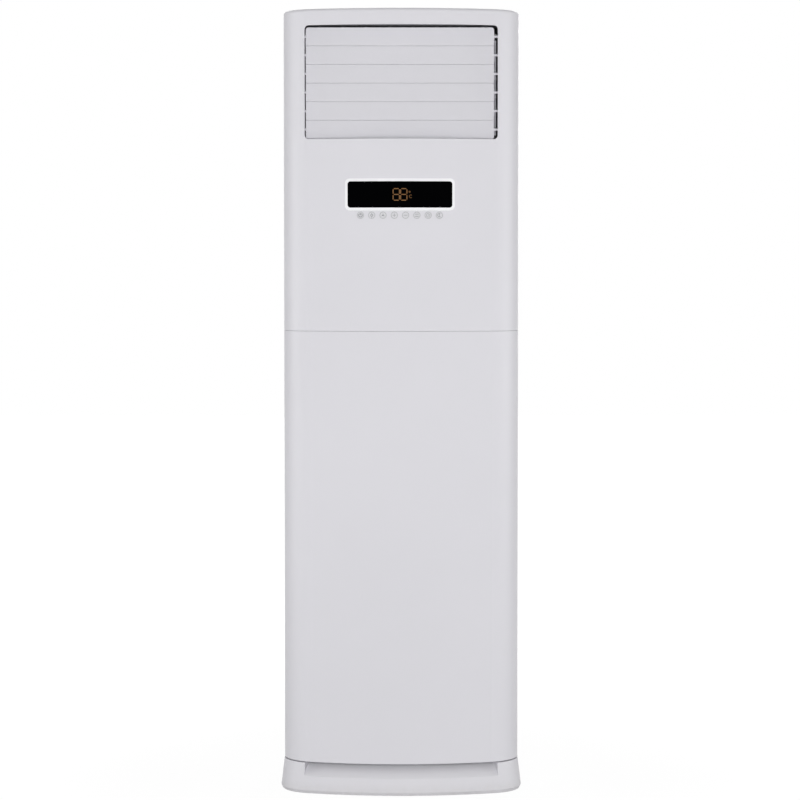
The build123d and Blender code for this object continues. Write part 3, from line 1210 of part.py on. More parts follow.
with BuildPart() as electric_box_cover:
    with BuildSketch(Plane.XZ.offset(-BOX_FRONT_Y)):
        with Locations((BOX_X, BOX_Z)):
            RectangleRounded(
                BOX_WIDTH + 2 * COVER_OVERLAP, BOX_HEIGHT + 2 * COVER_OVERLAP, BOX_CORNER + COVER_OVERLAP
            )
    extrude(amount=SHEET)
    with BuildSketch(Plane.XZ.offset(-BOX_FRONT_Y + SHEET)):
        with Locations((BOX_X, BOX_Z)):
            RectangleRounded(
                BOX_WIDTH - 2 * COVER_PANEL_INSET,
                BOX_HEIGHT - 2 * COVER_PANEL_INSET,
                BOX_CORNER + COVER_OVERLAP,
            )
    extrude(amount=COVER_PANEL_HEIGHT, taper=30)
electric_box_cover.part.label = "electric_box_cover"
export_step(electric_box_cover.part, "parts/electric_box_cover.step")

board_back_y = SCROLL_FRONT_Y - SHEET
component_face = Plane.XZ.offset(-board_back_y + CONTROL_STAND + SHEET)
# boxes on the board, from its centre: heat sink, three relays, filter coil and processor
components = (
    (-70.0, 10.0, 50.0, 44.0, 34.0),
    (-10.0, 20.0, 18.0, 14.0, 16.0),
    (15.0, 20.0, 18.0, 14.0, 16.0),
    (40.0, 20.0, 18.0, 14.0, 16.0),
    (90.0, -10.0, 30.0, 60.0, 25.0),
    (10.0, -25.0, 36.0, 36.0, 4.0),
)
capacitors = [(CONTROL_X - 90.0, CONTROL_Z - 40.0), (CONTROL_X - 60.0, CONTROL_Z - 40.0)]
with BuildPart() as control_board:
    with BuildSketch(Plane.XZ.offset(-board_back_y + CONTROL_STAND)):
        with Locations((CONTROL_X, CONTROL_Z)):
            Rectangle(CONTROL_WIDTH, CONTROL_HEIGHT)
    extrude(amount=SHEET)
    with BuildSketch(Plane.XZ.offset(-board_back_y)):
        with Locations((CONTROL_X, CONTROL_Z)):
            with GridLocations(CONTROL_WIDTH - 20.0, CONTROL_HEIGHT - 20.0, 2, 2):
                Circle(STAND_RADIUS)
    extrude(amount=CONTROL_STAND)
    for x, z, width, height, depth in components:
        with BuildSketch(component_face):
            with Locations((CONTROL_X + x, CONTROL_Z + z)):
                Rectangle(width, height)
        extrude(amount=depth)
    with BuildSketch(component_face):
        with Locations(*capacitors):
            Circle(CAPACITOR_RADIUS)
    extrude(amount=CAPACITOR_HEIGHT)
control_board.part.label = "control_board"
export_step(control_board.part, "parts/control_board.step")

terminal_face = Plane.XZ.offset(-board_back_y + TERMINAL_DEPTH)
with BuildPart() as terminal_block:
    with BuildSketch(Plane.XZ.offset(-board_back_y)):
        with Locations((TERMINAL_X, TERMINAL_Z)):
            Rectangle(TERMINAL_WIDTH, TERMINAL_HEIGHT)
    extrude(amount=TERMINAL_DEPTH)
    # upright walls between the terminals, then two screws in each
    with BuildSketch(terminal_face):
        with Locations((TERMINAL_X, TERMINAL_Z)):
            with GridLocations(TERMINAL_PITCH, 0, TERMINAL_COUNT + 1, 1):
                Rectangle(2.0, TERMINAL_HEIGHT)
    extrude(amount=8.0)
    with BuildSketch(terminal_face):
        with Locations((TERMINAL_X, TERMINAL_Z)):
            with GridLocations(TERMINAL_PITCH, TERMINAL_HEIGHT - 20.0, TERMINAL_COUNT, 2):
                Circle(4.0)
    extrude(amount=3.0)
terminal_block.part.label = "terminal_block"
export_step(terminal_block.part, "parts/terminal_block.step")
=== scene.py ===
import math

import bpy
import numpy as np
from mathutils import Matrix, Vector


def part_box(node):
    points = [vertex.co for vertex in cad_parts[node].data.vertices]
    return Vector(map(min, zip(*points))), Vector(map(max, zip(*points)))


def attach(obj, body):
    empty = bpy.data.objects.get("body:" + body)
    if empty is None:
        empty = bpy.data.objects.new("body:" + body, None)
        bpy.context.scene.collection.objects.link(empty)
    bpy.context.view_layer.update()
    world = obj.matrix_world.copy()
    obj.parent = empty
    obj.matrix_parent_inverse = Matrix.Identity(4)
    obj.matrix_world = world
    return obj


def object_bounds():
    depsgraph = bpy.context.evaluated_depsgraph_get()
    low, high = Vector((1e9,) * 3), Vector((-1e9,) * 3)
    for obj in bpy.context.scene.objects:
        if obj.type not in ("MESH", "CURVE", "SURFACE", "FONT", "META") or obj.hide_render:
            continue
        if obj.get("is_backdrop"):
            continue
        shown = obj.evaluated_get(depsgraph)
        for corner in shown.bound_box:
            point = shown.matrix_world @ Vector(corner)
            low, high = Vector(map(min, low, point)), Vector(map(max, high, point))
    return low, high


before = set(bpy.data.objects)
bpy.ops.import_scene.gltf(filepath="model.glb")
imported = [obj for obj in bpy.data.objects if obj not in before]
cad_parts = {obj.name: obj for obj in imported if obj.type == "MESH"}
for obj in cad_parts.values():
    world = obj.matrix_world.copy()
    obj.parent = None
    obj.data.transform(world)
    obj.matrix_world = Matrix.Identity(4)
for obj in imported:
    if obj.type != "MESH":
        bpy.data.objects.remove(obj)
cad_low, cad_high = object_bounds()

# ---------------------------------------------------------------- base
# The cabinet stands on a flared base, injection moulded in white plastic with a fine spark-eroded grain.
# Its colour turns darker and browner in blotches over its lowest 3 cm. A pressed and galvanised steel pan
# rests on it.


class Value:
    """One output of a shader node. Arithmetic with a number or another Value adds Math nodes."""

    def __init__(self, finish, socket):
        self.finish = finish
        self.socket = socket

    def maths(self, operation, first, second):
        return self.finish.node("ShaderNodeMath", {"operation": operation}, {0: first, 1: second})

    def __add__(self, other):
        return self.maths("ADD", self, other)

    def __radd__(self, other):
        return self.maths("ADD", other, self)

    def __sub__(self, other):
        return self.maths("SUBTRACT", self, other)

    def __rsub__(self, other):
        return self.maths("SUBTRACT", other, self)

    def __mul__(self, other):
        return self.maths("MULTIPLY", self, other)

    def __rmul__(self, other):
        return self.maths("MULTIPLY", other, self)


def colour(red, green, blue):
    """Linear colour with full alpha, from screen values between 0 and 255."""
    screen = np.array([red, green, blue]) / 255
    linear = np.where(screen > 0.04045, ((screen + 0.055) / 1.055) ** 2.4, screen / 12.92)
    return (*linear.tolist(), 1.0)


class Finish:
    """One finish: a material, its shader, and one method that adds any other node."""

    def __init__(self, name, **constants):
        self.material = bpy.data.materials.new(name)
        self.material.use_nodes = True
        self.tree = self.material.node_tree
        self.shader = self.tree.nodes["Principled BSDF"]
        self.place = self.node("ShaderNodeTexCoord", {}, {}, "Object")
        for socket, number in constants.items():
            self.shader.inputs[socket.replace("_", " ")].default_value = number

    def node(self, kind, settings, sockets, output=0):
        """Adds a node of that kind, sets its settings and its sockets, and returns one of its outputs."""
        made = self.tree.nodes.new(kind)
        for name, setting in settings.items():
            setattr(made, name, setting)
        for name, given in sockets.items():
            if isinstance(given, Value):
                self.tree.links.new(given.socket, made.inputs[name])
            else:
                made.inputs[name].default_value = given
        return Value(self, made.outputs[output])

    def grain(self, scale, detail=2.0, stretch=(1.0, 1.0, 1.0)):
        """Noise from 0 to 1 with scale patches per metre, drawn out along the axes with a small stretch."""
        place = self.node("ShaderNodeMapping", {}, {"Vector": self.place, "Scale": stretch})
        return self.node("ShaderNodeTexNoise", {}, {"Vector": place, "Scale": scale, "Detail": detail})

    def blend(self, share, first, second):
        """Colour between first and second by a share from 0 to 1."""
        settings = {"data_type": "RGBA"}
        return self.node("ShaderNodeMix", settings, {0: share, 6: first, 7: second}, 2)

    def ramp(self, value, low, high):
        """Share from 0 to 1 as value goes from low to high."""
        settings = {"clamp": True}
        return self.node("ShaderNodeMapRange", settings, {"Value": value, "From Min": low, "From Max": high})

    def part(self, axis):
        """One coordinate of the place on the object, in metres."""
        return self.node("ShaderNodeSeparateXYZ", {}, {"Vector": self.place}, axis)

    def feed(self, **links):
        """Joins values to sockets of the shader."""
        for socket, value in links.items():
            self.tree.links.new(value.socket, self.shader.inputs[socket.replace("_", " ")])

    def bump(self, height, depth):
        """Raises the surface by a height from 0 to 1 times depth in metres."""
        sockets = {"Height": height, "Distance": depth, "Strength": 1.0}
        self.feed(Normal=self.node("ShaderNodeBump", {}, sockets))


def moulded(name, light, dark, roughness, grain_depth):
    """Moulded plastic: a fine grain, slow changes of colour between light and dark, and uneven gloss."""
    finish = Finish(name, IOR=1.46)
    broad = finish.grain(2.5, detail=3.0)
    fine = finish.grain(1400.0)
    handled = finish.grain(26.0, detail=4.0)
    finish.shade = finish.blend(finish.ramp(broad * 0.8 + fine * 0.2, 0.3, 0.7), dark, light)
    finish.feed(Base_Color=finish.shade, Roughness=roughness + handled * 0.12 + fine * 0.05 - 0.08)
    finish.bump(fine * 0.7 + finish.grain(380.0) * 0.3, grain_depth)
    return finish


def dress(finish, *nodes):
    """Gives CAD nodes a finish."""
    for node in nodes:
        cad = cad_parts[node]
        cad.data.materials.clear()
        cad.data.materials.append(finish.material)


base_white = moulded(
    "base_white", colour(226, 225, 229), colour(222, 221, 226), roughness=0.46, grain_depth=0.00005
)
# Blotches of darker, browner colour over the lowest 3 cm of the base, fading out upwards.
darker_low_down = base_white.ramp(base_white.part("Z"), 0.03, 0.0) * base_white.grain(60.0, detail=5.0)
base_white.feed(Base_Color=base_white.blend(darker_low_down * 0.35, base_white.shade, colour(176, 172, 165)))
dress(base_white, "base_plinth")


def zinc_sheet(name, light, dark, roughness):
    """Galvanised steel: flat crystals of zinc that differ in shade and gloss, with fine rolling lines."""
    finish = Finish(name, Metallic=0.85)
    crystals = finish.node("ShaderNodeTexVoronoi", {}, {"Vector": finish.place, "Scale": 130.0}, "Color")
    shade = finish.node("ShaderNodeSeparateColor", {}, {"Color": crystals}, "Red")
    rolling = finish.grain(900.0, stretch=(1.0, 1.0, 0.05))
    finish.feed(
        Base_Color=finish.blend(shade * 0.7 + rolling * 0.3, dark, light),
        Roughness=roughness + shade * 0.16 + rolling * 0.08,
    )
    finish.bump(rolling * 0.5 + shade * 0.5, 0.00004)
    return finish


galvanised = zinc_sheet("galvanised", colour(188, 191, 194), colour(158, 161, 165), roughness=0.34)
dress(galvanised, "base_pan", "motor_bracket", "electric_box", "electric_box_cover")

# ---------------------------------------------------------------- blower
# A squirrel-cage wheel of moulded plastic turns in a spiral casing of grey plastic, driven from behind by
# a black lacquered motor on a steel shaft. The inlet ring closes the front of the casing.
casing_grey = moulded(
    "casing_grey", colour(176, 179, 181), colour(164, 168, 171), roughness=0.5, grain_depth=0.00008
)
dress(casing_grey, "scroll_casing", "inlet_ring")

wheel_grey = moulded(
    "wheel_grey", colour(92, 96, 100), colour(80, 84, 88), roughness=0.42, grain_depth=0.00004
)
dress(wheel_grey, "blower_wheel")

motor_black = moulded(
    "motor_black", colour(42, 43, 45), colour(34, 35, 37), roughness=0.36, grain_depth=0.00009
)
dress(motor_black, "blower_motor")


def turned_steel(name, light, dark, roughness, stretch):
    """Machined or plated steel with fine tool marks drawn out across the stretched axis."""
    finish = Finish(name, Metallic=1.0)
    marks = finish.grain(1600.0, 2.0, stretch)
    stains = finish.grain(30.0, detail=4.0)
    finish.feed(
        Base_Color=finish.blend(marks * 0.6 + stains * 0.4, dark, light),
        Roughness=roughness + stains * 0.2 + marks * 0.06,
    )
    finish.bump(marks, 0.00003)
    return finish


shaft_steel = turned_steel(
    "shaft_steel", colour(196, 198, 201), colour(150, 152, 156), roughness=0.22, stretch=(0.1, 1.0, 0.1)
)
dress(shaft_steel, "motor_shaft")

# ---------------------------------------------------------------- cooling coil and drip tray
# Copper hairpin tubes are expanded into a pack of aluminium fins with a pale blue water-shedding coat.
# The bends, the pipes and their flare nuts are left bare. The tray below is grey plastic.
fin_aluminium = Finish("fin_aluminium", Metallic=0.7)
fin_ripple = fin_aluminium.grain(220.0, stretch=(0.2, 1.0, 1.0))
fin_coat = fin_aluminium.grain(9.0, detail=4.0)
fin_aluminium.feed(
    Base_Color=fin_aluminium.blend(fin_coat, colour(176, 192, 202), colour(198, 206, 212)),
    Roughness=0.36 + fin_ripple * 0.18,
)
fin_aluminium.bump(fin_ripple, 0.00015)
dress(fin_aluminium, "evaporator_fins")
dress(galvanised, "evaporator_end_plates")

copper = Finish("copper", Metallic=1.0)
tarnish = copper.grain(38.0, detail=5.0)
drawn = copper.grain(700.0, stretch=(1.0, 1.0, 0.15))
copper.feed(
    Base_Color=copper.blend(copper.ramp(tarnish, 0.42, 0.68), colour(205, 132, 96), colour(142, 86, 62)),
    Roughness=0.2 + tarnish * 0.34,
)
copper.bump(drawn, 0.00003)
dress(copper, "evaporator_tubes")

tray_grey = moulded(
    "tray_grey", colour(150, 154, 158), colour(136, 141, 146), roughness=0.48, grain_depth=0.00008
)
dress(tray_grey, "drip_tray")

# ---------------------------------------------------------------- electrics
# The galvanised box behind the lower panel holds a green circuit board with its relays, and a black
# terminal block. A second green board behind the display carries the switches of the buttons.
circuit_green = Finish("circuit_green", IOR=1.5, Coat_Weight=0.4)
tracks = circuit_green.node(
    "ShaderNodeTexBrick",
    {"offset": 0.37},
    {"Vector": circuit_green.place, "Scale": 170.0, "Mortar Size": 0.06},
    "Fac",
)
weave = circuit_green.grain(900.0)
circuit_green.feed(
    Base_Color=circuit_green.blend(tracks * 0.6 + weave * 0.2, colour(28, 92, 58), colour(70, 132, 84)),
    Roughness=0.32 + weave * 0.16,
)
circuit_green.bump(tracks, 0.00004)
dress(circuit_green, "control_board", "display_board")

terminal_black = moulded(
    "terminal_black", colour(36, 36, 38), colour(29, 29, 31), roughness=0.5, grain_depth=0.00007
)
dress(terminal_black, "terminal_block")

# ---------------------------------------------------------------- outlet frame, vanes and their motors
# A grey moulded frame lines the outlet and carries every pin. Eight upright vanes on a common bar turn the
# air left and right, and two small geared motors with plated cans move the vanes and the louvre.
frame_grey = moulded(
    "frame_grey", colour(196, 197, 202), colour(190, 191, 196), roughness=0.55, grain_depth=0.00006
)
dress(frame_grey, "outlet_frame")

vane_white = moulded(
    "vane_white", colour(204, 205, 208), colour(197, 198, 202), roughness=0.42, grain_depth=0.00004
)
dress(vane_white, *[f"outlet_vane_{i}" for i in range(1, 9)], "vane_link")

motor_can = turned_steel(
    "motor_can", colour(186, 186, 180), colour(150, 151, 148), roughness=0.3, stretch=(1.0, 0.1, 0.1)
)
dress(motor_can, "louvre_motor", "vane_motor")

# ---------------------------------------------------------------- louvre
# Six moulded blades close over each other with rebated lips. Their cranks hang on one upright bar in the
# gap at the right, so they open together.
blade_white = moulded(
    "blade_white", colour(221, 220, 225), colour(218, 217, 222), roughness=0.4, grain_depth=0.00004
)
dress(blade_white, *[f"louvre_blade_{i}" for i in range(1, 7)])
dress(frame_grey, "louvre_link")

# ---------------------------------------------------------------- sides, back and wall bracket
# Folded steel sides and backs have a white polyester powder coat with a slight orange peel. The backs
# are pressed with stiffening beads and held by crosshead screws. A plain zinc bracket at the top of the
# back is for the wall.
sheet_white = Finish("sheet_white", IOR=1.5, Coat_Weight=0.15, Coat_Roughness=0.3)
peel = sheet_white.grain(520.0, detail=1.0)
stoved = sheet_white.ramp(sheet_white.grain(3.0, detail=3.0), 0.3, 0.7)
sheet_white.feed(
    Base_Color=sheet_white.blend(stoved, colour(212, 212, 214), colour(217, 217, 219)),
    Roughness=0.4 + sheet_white.grain(18.0, detail=4.0) * 0.14,
)
sheet_white.bump(peel, 0.00009)
dress(sheet_white, "left_side_plate", "right_side_plate", "lower_rear_plate", "upper_rear_plate")
dress(galvanised, "wall_bracket")

screw_steel = turned_steel(
    "screw_steel", colour(206, 207, 209), colour(160, 162, 166), roughness=0.24, stretch=(1.0, 0.2, 1.0)
)
dress(screw_steel, "cabinet_screws")

rubber_black = moulded(
    "rubber_black", colour(40, 40, 41), colour(30, 30, 31), roughness=0.74, grain_depth=0.00012
)
dress(rubber_black, "pipe_grommet")

# ---------------------------------------------------------------- inlet grilles and filters
# Each side has a moulded grille of three columns of slots, with a washable filter behind it: a plastic
# lattice that carries a fine woven net.
grille_white = moulded(
    "grille_white", colour(216, 216, 218), colour(210, 210, 213), roughness=0.44, grain_depth=0.00004
)
dress(grille_white, "inlet_grille_left", "inlet_grille_right")

filter_grey = Finish("filter_grey", IOR=1.5, Roughness=0.62)
sideways = {"Vector": filter_grey.place, "Rotation": (0, math.pi / 2, 0)}
net = filter_grey.node(
    "ShaderNodeTexBrick",
    {"offset": 0.0, "squash": 1.0},
    {
        "Vector": filter_grey.node("ShaderNodeMapping", {}, sideways),
        "Scale": 420.0,
        "Mortar Size": 0.13,
        "Brick Width": 0.5,
        "Row Height": 0.5,
    },
    "Fac",
)
lint = filter_grey.grain(70.0, detail=5.0)
filter_grey.feed(
    Base_Color=filter_grey.blend(net * 0.75 + lint * 0.25, colour(74, 78, 82), colour(136, 140, 144)),
)
filter_grey.bump(net, 0.0002)
dress(filter_grey, "air_filter_left", "air_filter_right")

# ---------------------------------------------------------------- top cover and front panels
# The top, the upper panel with its outlet and display openings, and the plain lower panel are moulded in
# one white plastic, fully satin, with a faint cool cast.
panel_white = moulded(
    "panel_white", colour(226, 225, 230), colour(223, 222, 227), roughness=0.4, grain_depth=0.00003
)
dress(panel_white, "upper_front_panel", "lower_front_panel", "top_cover")

# ---------------------------------------------------------------- display
# A black smoked window sits in a bright white bezel. Two amber seven-bar digits and a small degree mark
# with a C shine through it, and are laid 0.1 mm proud of its front here.
bezel_white = moulded(
    "bezel_white", colour(250, 250, 252), colour(247, 247, 250), roughness=0.24, grain_depth=0.00001
)
dress(bezel_white, "display_bezel")

window_black = Finish("window_black", IOR=1.3, Specular_IOR_Level=0.02)
smoke = window_black.grain(8.0, detail=3.0)
wiped = window_black.grain(160.0, detail=3.0, stretch=(0.15, 1.0, 1.0))
window_black.feed(
    Base_Color=window_black.blend(smoke, colour(0, 0, 1), colour(2, 2, 3)),
    Roughness=0.1 + wiped * 0.08,
)
window_black.bump(wiped, 0.000005)
dress(window_black, "display_window")

window_low, window_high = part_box("display_window")
DISPLAY_Z = (window_low.z + window_high.z) / 2
FRONT_RADIUS = 0.8006
WINDOW_FRONT_Y = window_low.y
DIGIT_CENTRE_X = -0.0028
DIGIT_HEIGHT = 0.0272
DIGIT_WIDTH = 0.0148
DIGIT_PITCH = 0.0178
BAR_WIDTH = 0.0021
BAR_GAP = 0.0006
BAR_PROUD = 0.0001


def add_surface(name, corners, faces, finish, body):
    """Makes a piece of the object from corner places and faces, and lets it ride on a CAD body."""
    mesh = bpy.data.meshes.new(name)
    mesh.from_pydata(corners.tolist(), [], faces.tolist())
    mesh.materials.append(finish.material)
    piece = bpy.data.objects.new(name, mesh)
    bpy.context.scene.collection.objects.link(piece)
    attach(piece, body)


def on_front(places, front_y, radius, proud):
    """Lays flat places (x, z) on the front: y falls back from front_y by radius minus the root of radius
    squared minus x squared, the depth of a circle, and stands proud of it."""
    x = places[..., 0]
    y = front_y + radius - np.sqrt(radius**2 - x**2) - proud
    return np.stack([x, y, places[..., 1]], axis=-1)


def stroke(path, width):
    """Band of two rows of places, half a width to each side of a path. The side is the path's direction,
    by differences between neighbours, turned a quarter turn."""
    ahead = np.gradient(path, axis=0)
    ahead = ahead / np.linalg.norm(ahead, axis=1, keepdims=True)
    side = np.stack([-ahead[:, 1], ahead[:, 0]], axis=1)
    return np.stack([path + side * width / 2, path - side * width / 2], axis=1)


def band_faces(rows, first):
    """Faces of a band of two places in each row, turned to look forwards."""
    i = first + 2 * np.arange(rows - 1)
    return np.stack([i, i + 1, i + 3, i + 2], axis=1)


def draw_bands(paths, width, front_y, radius, proud):
    """Corners and faces of several strokes laid on the front."""
    corners = []
    faces = []
    count = 0
    for path in paths:
        corners.append(on_front(stroke(path, width), front_y, radius, proud).reshape(-1, 3))
        faces.append(band_faces(len(path), count))
        count += 2 * len(path)
    return np.concatenate(corners), np.concatenate(faces)


def line(x0, z0, x1, z1, steps=6):
    """Straight path: places at even shares of the way from one end to the other."""
    share = np.linspace(0, 1, steps)[:, None]
    return np.array([[x0, z0]]) * (1 - share) + np.array([[x1, z1]]) * share


def arc(x, z, radius, start_deg, end_deg, steps=25):
    """Arc path: centre plus radius times the cosine and sine of an even run of angles."""
    angle = np.radians(np.linspace(start_deg, end_deg, steps))
    return np.stack([x + radius * np.cos(angle), z + radius * np.sin(angle)], axis=1)


def digit_eight(centre_x):
    """The seven bars of an 8: two uprights on each side and three level bars."""
    half_w = DIGIT_WIDTH / 2
    half_h = DIGIT_HEIGHT / 2
    end = BAR_WIDTH / 2 + BAR_GAP
    left = centre_x - half_w
    right = centre_x + half_w
    levels = (DISPLAY_Z - half_h, DISPLAY_Z, DISPLAY_Z + half_h)
    bars = [line(left + end, z, right - end, z) for z in levels]
    for x in (left, right):
        bars.append(line(x, DISPLAY_Z - half_h + end, x, DISPLAY_Z - end))
        bars.append(line(x, DISPLAY_Z + end, x, DISPLAY_Z + half_h - end))
    return bars


amber = Finish("amber_light", Roughness=0.4, Emission_Strength=0.16)
glow = amber.grain(500.0)
amber.feed(
    Base_Color=amber.blend(glow, colour(80, 52, 20), colour(90, 60, 26)),
    Emission_Color=amber.blend(glow, colour(198, 136, 62), colour(214, 152, 76)),
)
digit_bars = digit_eight(DIGIT_CENTRE_X - DIGIT_PITCH / 2) + digit_eight(DIGIT_CENTRE_X + DIGIT_PITCH / 2)
digit_corners, digit_faces = draw_bands(digit_bars, BAR_WIDTH, WINDOW_FRONT_Y, FRONT_RADIUS, BAR_PROUD)
add_surface("display_digits", digit_corners, digit_faces, amber, "cabinet")

DEGREE_X = 0.0197
DEGREE_Z = DISPLAY_Z + 0.0062
DEGREE_RADIUS = 0.0016
LETTER_X = 0.0227
LETTER_Z = DISPLAY_Z - 0.0046
LETTER_RADIUS = 0.0034
UNIT_WIDTH = 0.0009
unit_paths = [arc(DEGREE_X, DEGREE_Z, DEGREE_RADIUS, 0, 360), arc(LETTER_X, LETTER_Z, LETTER_RADIUS, 50, 310)]
unit_corners, unit_faces = draw_bands(unit_paths, UNIT_WIDTH, WINDOW_FRONT_Y, FRONT_RADIUS, BAR_PROUD)
add_surface("display_unit_mark", unit_corners, unit_faces, amber, "cabinet")

# ---------------------------------------------------------------- buttons
# Eight round moulded buttons with a thin printed ring and a plain symbol each: power, mode, fan, warmer,
# cooler, swing, timer and sleep. The print is a mid grey.
button_white = moulded(
    "button_white", colour(220, 220, 223), colour(216, 216, 220), roughness=0.36, grain_depth=0.00002
)
printed_grey = Finish("printed_grey", Roughness=0.5)
print_wear = printed_grey.grain(900.0)
printed_grey.feed(Base_Color=printed_grey.blend(print_wear, colour(128, 128, 134), colour(146, 146, 152)))

BUTTON_FRONT_Y = -0.1904
BUTTON_FRONT_RADIUS = 0.8004
RING_RADIUS = 0.0074
RING_WIDTH = 0.0006
PRINT_PROUD = 0.00008
SYMBOL = 0.0042
SYMBOL_WIDTHS = (0.0017, 0.0012, 0.0008, 0.0008, 0.0009, 0.0011, 0.0007, 0.0010)


def button_symbol(number, x, z):
    """Paths of the plain symbol on one button, about SYMBOL in radius."""
    s = SYMBOL
    spokes = [line(x, z, x + s * math.cos(a), z + s * math.sin(a)) for a in np.radians([90, 210, 330])]
    symbols = [
        [arc(x, z, s, 120, 420), line(x, z, x, z + s * 1.2)],
        [arc(x, z, s * 0.6, 0, 360)] + [line(x, z + s * k, x, z + s * 1.45 * k) for k in (-0.9, 0.9)],
        spokes + [arc(x, z, s * 0.3, 0, 360)],
        [line(x - s, z, x + s, z), line(x, z - s, x, z + s)],
        [line(x - s, z, x + s, z)],
        [line(x - s, z - s * 0.6, x + s, z - s * 0.6), line(x - s, z + s * 0.6, x + s, z + s * 0.6)],
        [arc(x, z, s, 0, 360), line(x, z, x, z + s * 0.7), line(x, z, x + s * 0.6, z)],
        [arc(x, z, s, 60, 300), arc(x + s * 0.7, z, s * 0.8, 105, 255)],
    ]
    return symbols[number - 1]


front = (BUTTON_FRONT_Y, BUTTON_FRONT_RADIUS, PRINT_PROUD)
for i in range(1, 9):
    name = f"button_{i}"
    low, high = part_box(name)
    x = (low.x + high.x) / 2
    z = (low.z + high.z) / 2
    dress(button_white, name)
    ring_corners, ring_faces = draw_bands([arc(x, z, RING_RADIUS, 0, 360, 49)], RING_WIDTH, *front)
    corners, faces = draw_bands(button_symbol(i, x, z), SYMBOL_WIDTHS[i - 1], *front)
    faces = np.concatenate([ring_faces, faces + len(ring_corners)])
    corners = np.concatenate([ring_corners, corners])
    add_surface(f"button_print_{i}", corners, faces, printed_grey, f"{name}_body")

# ---------------------------------------------------------------- studio
# A plain white floor and world, a broad softbox in front, one at each side and one behind. Close to the
# object the floor shows a little of the lamps' light and of the shadow, and plain white from 2.2 m on.
FLOOR_SIZE = 30.0
FLOOR_GLOW = 1.1
FLOOR_FADE = {"From Min": 0.5, "From Max": 2.2, "To Min": 0.86, "To Max": 1.0}
WORLD_LIGHT = 0.27


def white_for_camera(tree, surface, white, shown):
    """Joins white in place of surface where a camera, mirror or glass looks, by the share shown."""
    path = tree.nodes.new("ShaderNodeLightPath")
    looked_at = tree.nodes.new("ShaderNodeMath")
    looked_at.operation = "MAXIMUM"
    tree.links.new(path.outputs["Is Camera Ray"], looked_at.inputs[0])
    tree.links.new(path.outputs["Is Glossy Ray"], looked_at.inputs[1])
    clear = tree.nodes.new("ShaderNodeMath")
    clear.operation = "MAXIMUM"
    tree.links.new(looked_at.outputs[0], clear.inputs[0])
    tree.links.new(path.outputs["Is Transmission Ray"], clear.inputs[1])
    share = tree.nodes.new("ShaderNodeMath")
    share.operation = "MULTIPLY"
    tree.links.new(clear.outputs[0], share.inputs[0])
    tree.links.new(shown, share.inputs[1])
    mix = tree.nodes.new("ShaderNodeMixShader")
    tree.links.new(share.outputs[0], mix.inputs[0])
    tree.links.new(surface, mix.inputs[1])
    tree.links.new(white, mix.inputs[2])
    return mix.outputs[0]


floor_mesh = bpy.data.meshes.new("floor")
floor_corners = np.array([(-1, -1, 0), (1, -1, 0), (1, 1, 0), (-1, 1, 0)]) * FLOOR_SIZE / 2
floor_mesh.from_pydata(floor_corners.tolist(), [], [(0, 1, 2, 3)])
floor = bpy.data.objects.new("floor", floor_mesh)
bpy.context.scene.collection.objects.link(floor)
floor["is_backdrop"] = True
floor_paint = bpy.data.materials.new("floor_paint")
floor_paint.use_nodes = True
floor_tree = floor_paint.node_tree
floor_tree.nodes.clear()
floor_diffuse = floor_tree.nodes.new("ShaderNodeBsdfDiffuse")
floor_diffuse.inputs["Color"].default_value = colour(196, 196, 196)
floor_glow = floor_tree.nodes.new("ShaderNodeEmission")
floor_glow.inputs["Strength"].default_value = FLOOR_GLOW
floor_place = floor_tree.nodes.new("ShaderNodeTexCoord")
floor_away = floor_tree.nodes.new("ShaderNodeVectorMath")
floor_away.operation = "LENGTH"
floor_tree.links.new(floor_place.outputs["Object"], floor_away.inputs[0])
floor_share = floor_tree.nodes.new("ShaderNodeMapRange")
floor_share.interpolation_type = "SMOOTHSTEP"
for socket, number in FLOOR_FADE.items():
    floor_share.inputs[socket].default_value = number
floor_tree.links.new(floor_away.outputs["Value"], floor_share.inputs["Value"])
floor_out = floor_tree.nodes.new("ShaderNodeOutputMaterial")
floor_surface = white_for_camera(
    floor_tree, floor_diffuse.outputs[0], floor_glow.outputs[0], floor_share.outputs["Result"]
)
floor_tree.links.new(floor_surface, floor_out.inputs["Surface"])
floor_mesh.materials.append(floor_paint)

world = bpy.data.worlds.new("studio")
bpy.context.scene.world = world
world.use_nodes = True
world_tree = world.node_tree
world_tree.nodes.clear()
ambient = world_tree.nodes.new("ShaderNodeBackground")
ambient.inputs["Color"].default_value = (1, 1, 1, 1)
ambient.inputs["Strength"].default_value = WORLD_LIGHT
backdrop = world_tree.nodes.new("ShaderNodeBackground")
backdrop.inputs["Color"].default_value = (1, 1, 1, 1)
backdrop.inputs["Strength"].default_value = 1.0
world_out = world_tree.nodes.new("ShaderNodeOutputWorld")
whole = world_tree.nodes.new("ShaderNodeValue")
whole.outputs[0].default_value = 1.0
world_surface = white_for_camera(world_tree, ambient.outputs[0], backdrop.outputs[0], whole.outputs[0])
world_tree.links.new(world_surface, world_out.inputs["Surface"])


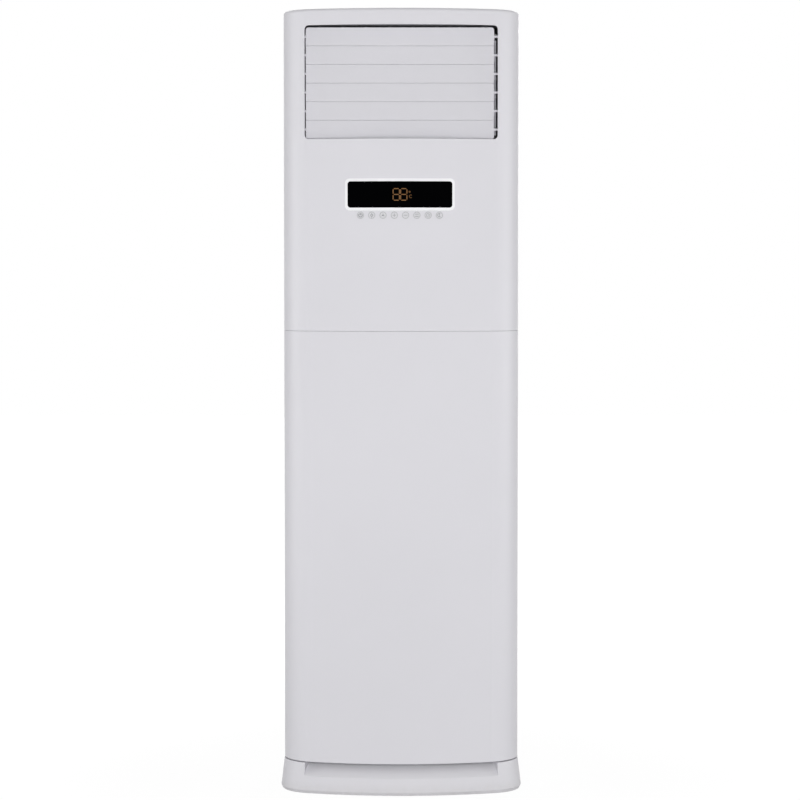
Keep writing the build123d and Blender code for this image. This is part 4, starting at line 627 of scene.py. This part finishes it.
def softbox(name, place, target, width, height, power):
    """Adds a rectangular lamp at place that faces target."""
    lamp = bpy.data.lights.new(name, "AREA")
    lamp.shape = "RECTANGLE"
    lamp.size = width
    lamp.size_y = height
    lamp.energy = power
    holder = bpy.data.objects.new(name, lamp)
    bpy.context.scene.collection.objects.link(holder)
    holder.location = place
    away = np.array(place) - np.array(target)
    level = math.hypot(away[0], away[1])
    holder.rotation_euler = (math.atan2(level, away[2]), 0, math.atan2(away[1], away[0]) + math.pi / 2)
    holder.visible_camera = False
    return holder


middle = (0, 0, 0.95)
front_box = softbox("front_box", (0, -5.5, 1.2), (0, 0, 1.2), width=4.5, height=1.8, power=178)
front_box.visible_glossy = False
softbox("left_box", (-4.5, -0.4, 1.4), middle, width=2.5, height=2.6, power=46)
softbox("right_box", (4.5, -0.4, 1.4), middle, width=2.5, height=2.6, power=48)
softbox("back_box", (0.5, 5.0, 2.4), middle, width=3.0, height=3.0, power=100)

# ---------------------------------------------------------------- camera
# Straight in front, at two thirds of the object's height and tilted a little down, fitted to the
# photograph.
PHOTO_WIDTH = 800
OBJECT_CENTRE_PX = 401.2
FLOOR_LINE_PX = 795.7
PHOTO_SCALE = 0.0023717
FRAME_SCALE = 1.0025
CAMERA_DISTANCE = 6.0
CAMERA_TILT = math.radians(2.5)
SHIFT_DOWN = -0.03
RAISED = 0.0065
FRONT_BEHIND_BASE = 0.0075
SENSOR_WIDTH = 36.0

camera_data = bpy.data.cameras.new("camera")
camera = bpy.data.objects.new("camera", camera_data)
bpy.context.scene.collection.objects.link(camera)
bpy.context.scene.camera = camera
camera_data.sensor_width = SENSOR_WIDTH
camera_data.lens = FRAME_SCALE * SENSOR_WIDTH * CAMERA_DISTANCE / (PHOTO_WIDTH * PHOTO_SCALE)
camera_data.shift_y = SHIFT_DOWN
photo_middle = PHOTO_WIDTH / 2
middle_z = (FLOOR_LINE_PX - photo_middle) * PHOTO_SCALE + RAISED
eye_x = (photo_middle - OBJECT_CENTRE_PX) * PHOTO_SCALE
eye_y = cad_low.y + FRONT_BEHIND_BASE - CAMERA_DISTANCE
eye_z = middle_z - SHIFT_DOWN * PHOTO_WIDTH * PHOTO_SCALE + CAMERA_DISTANCE * math.tan(CAMERA_TILT)
camera.location = (eye_x, eye_y, eye_z)
camera.rotation_euler = (math.pi / 2 - CAMERA_TILT, 0, 0)

bpy.context.scene.view_settings.view_transform = "Standard"

low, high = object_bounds()
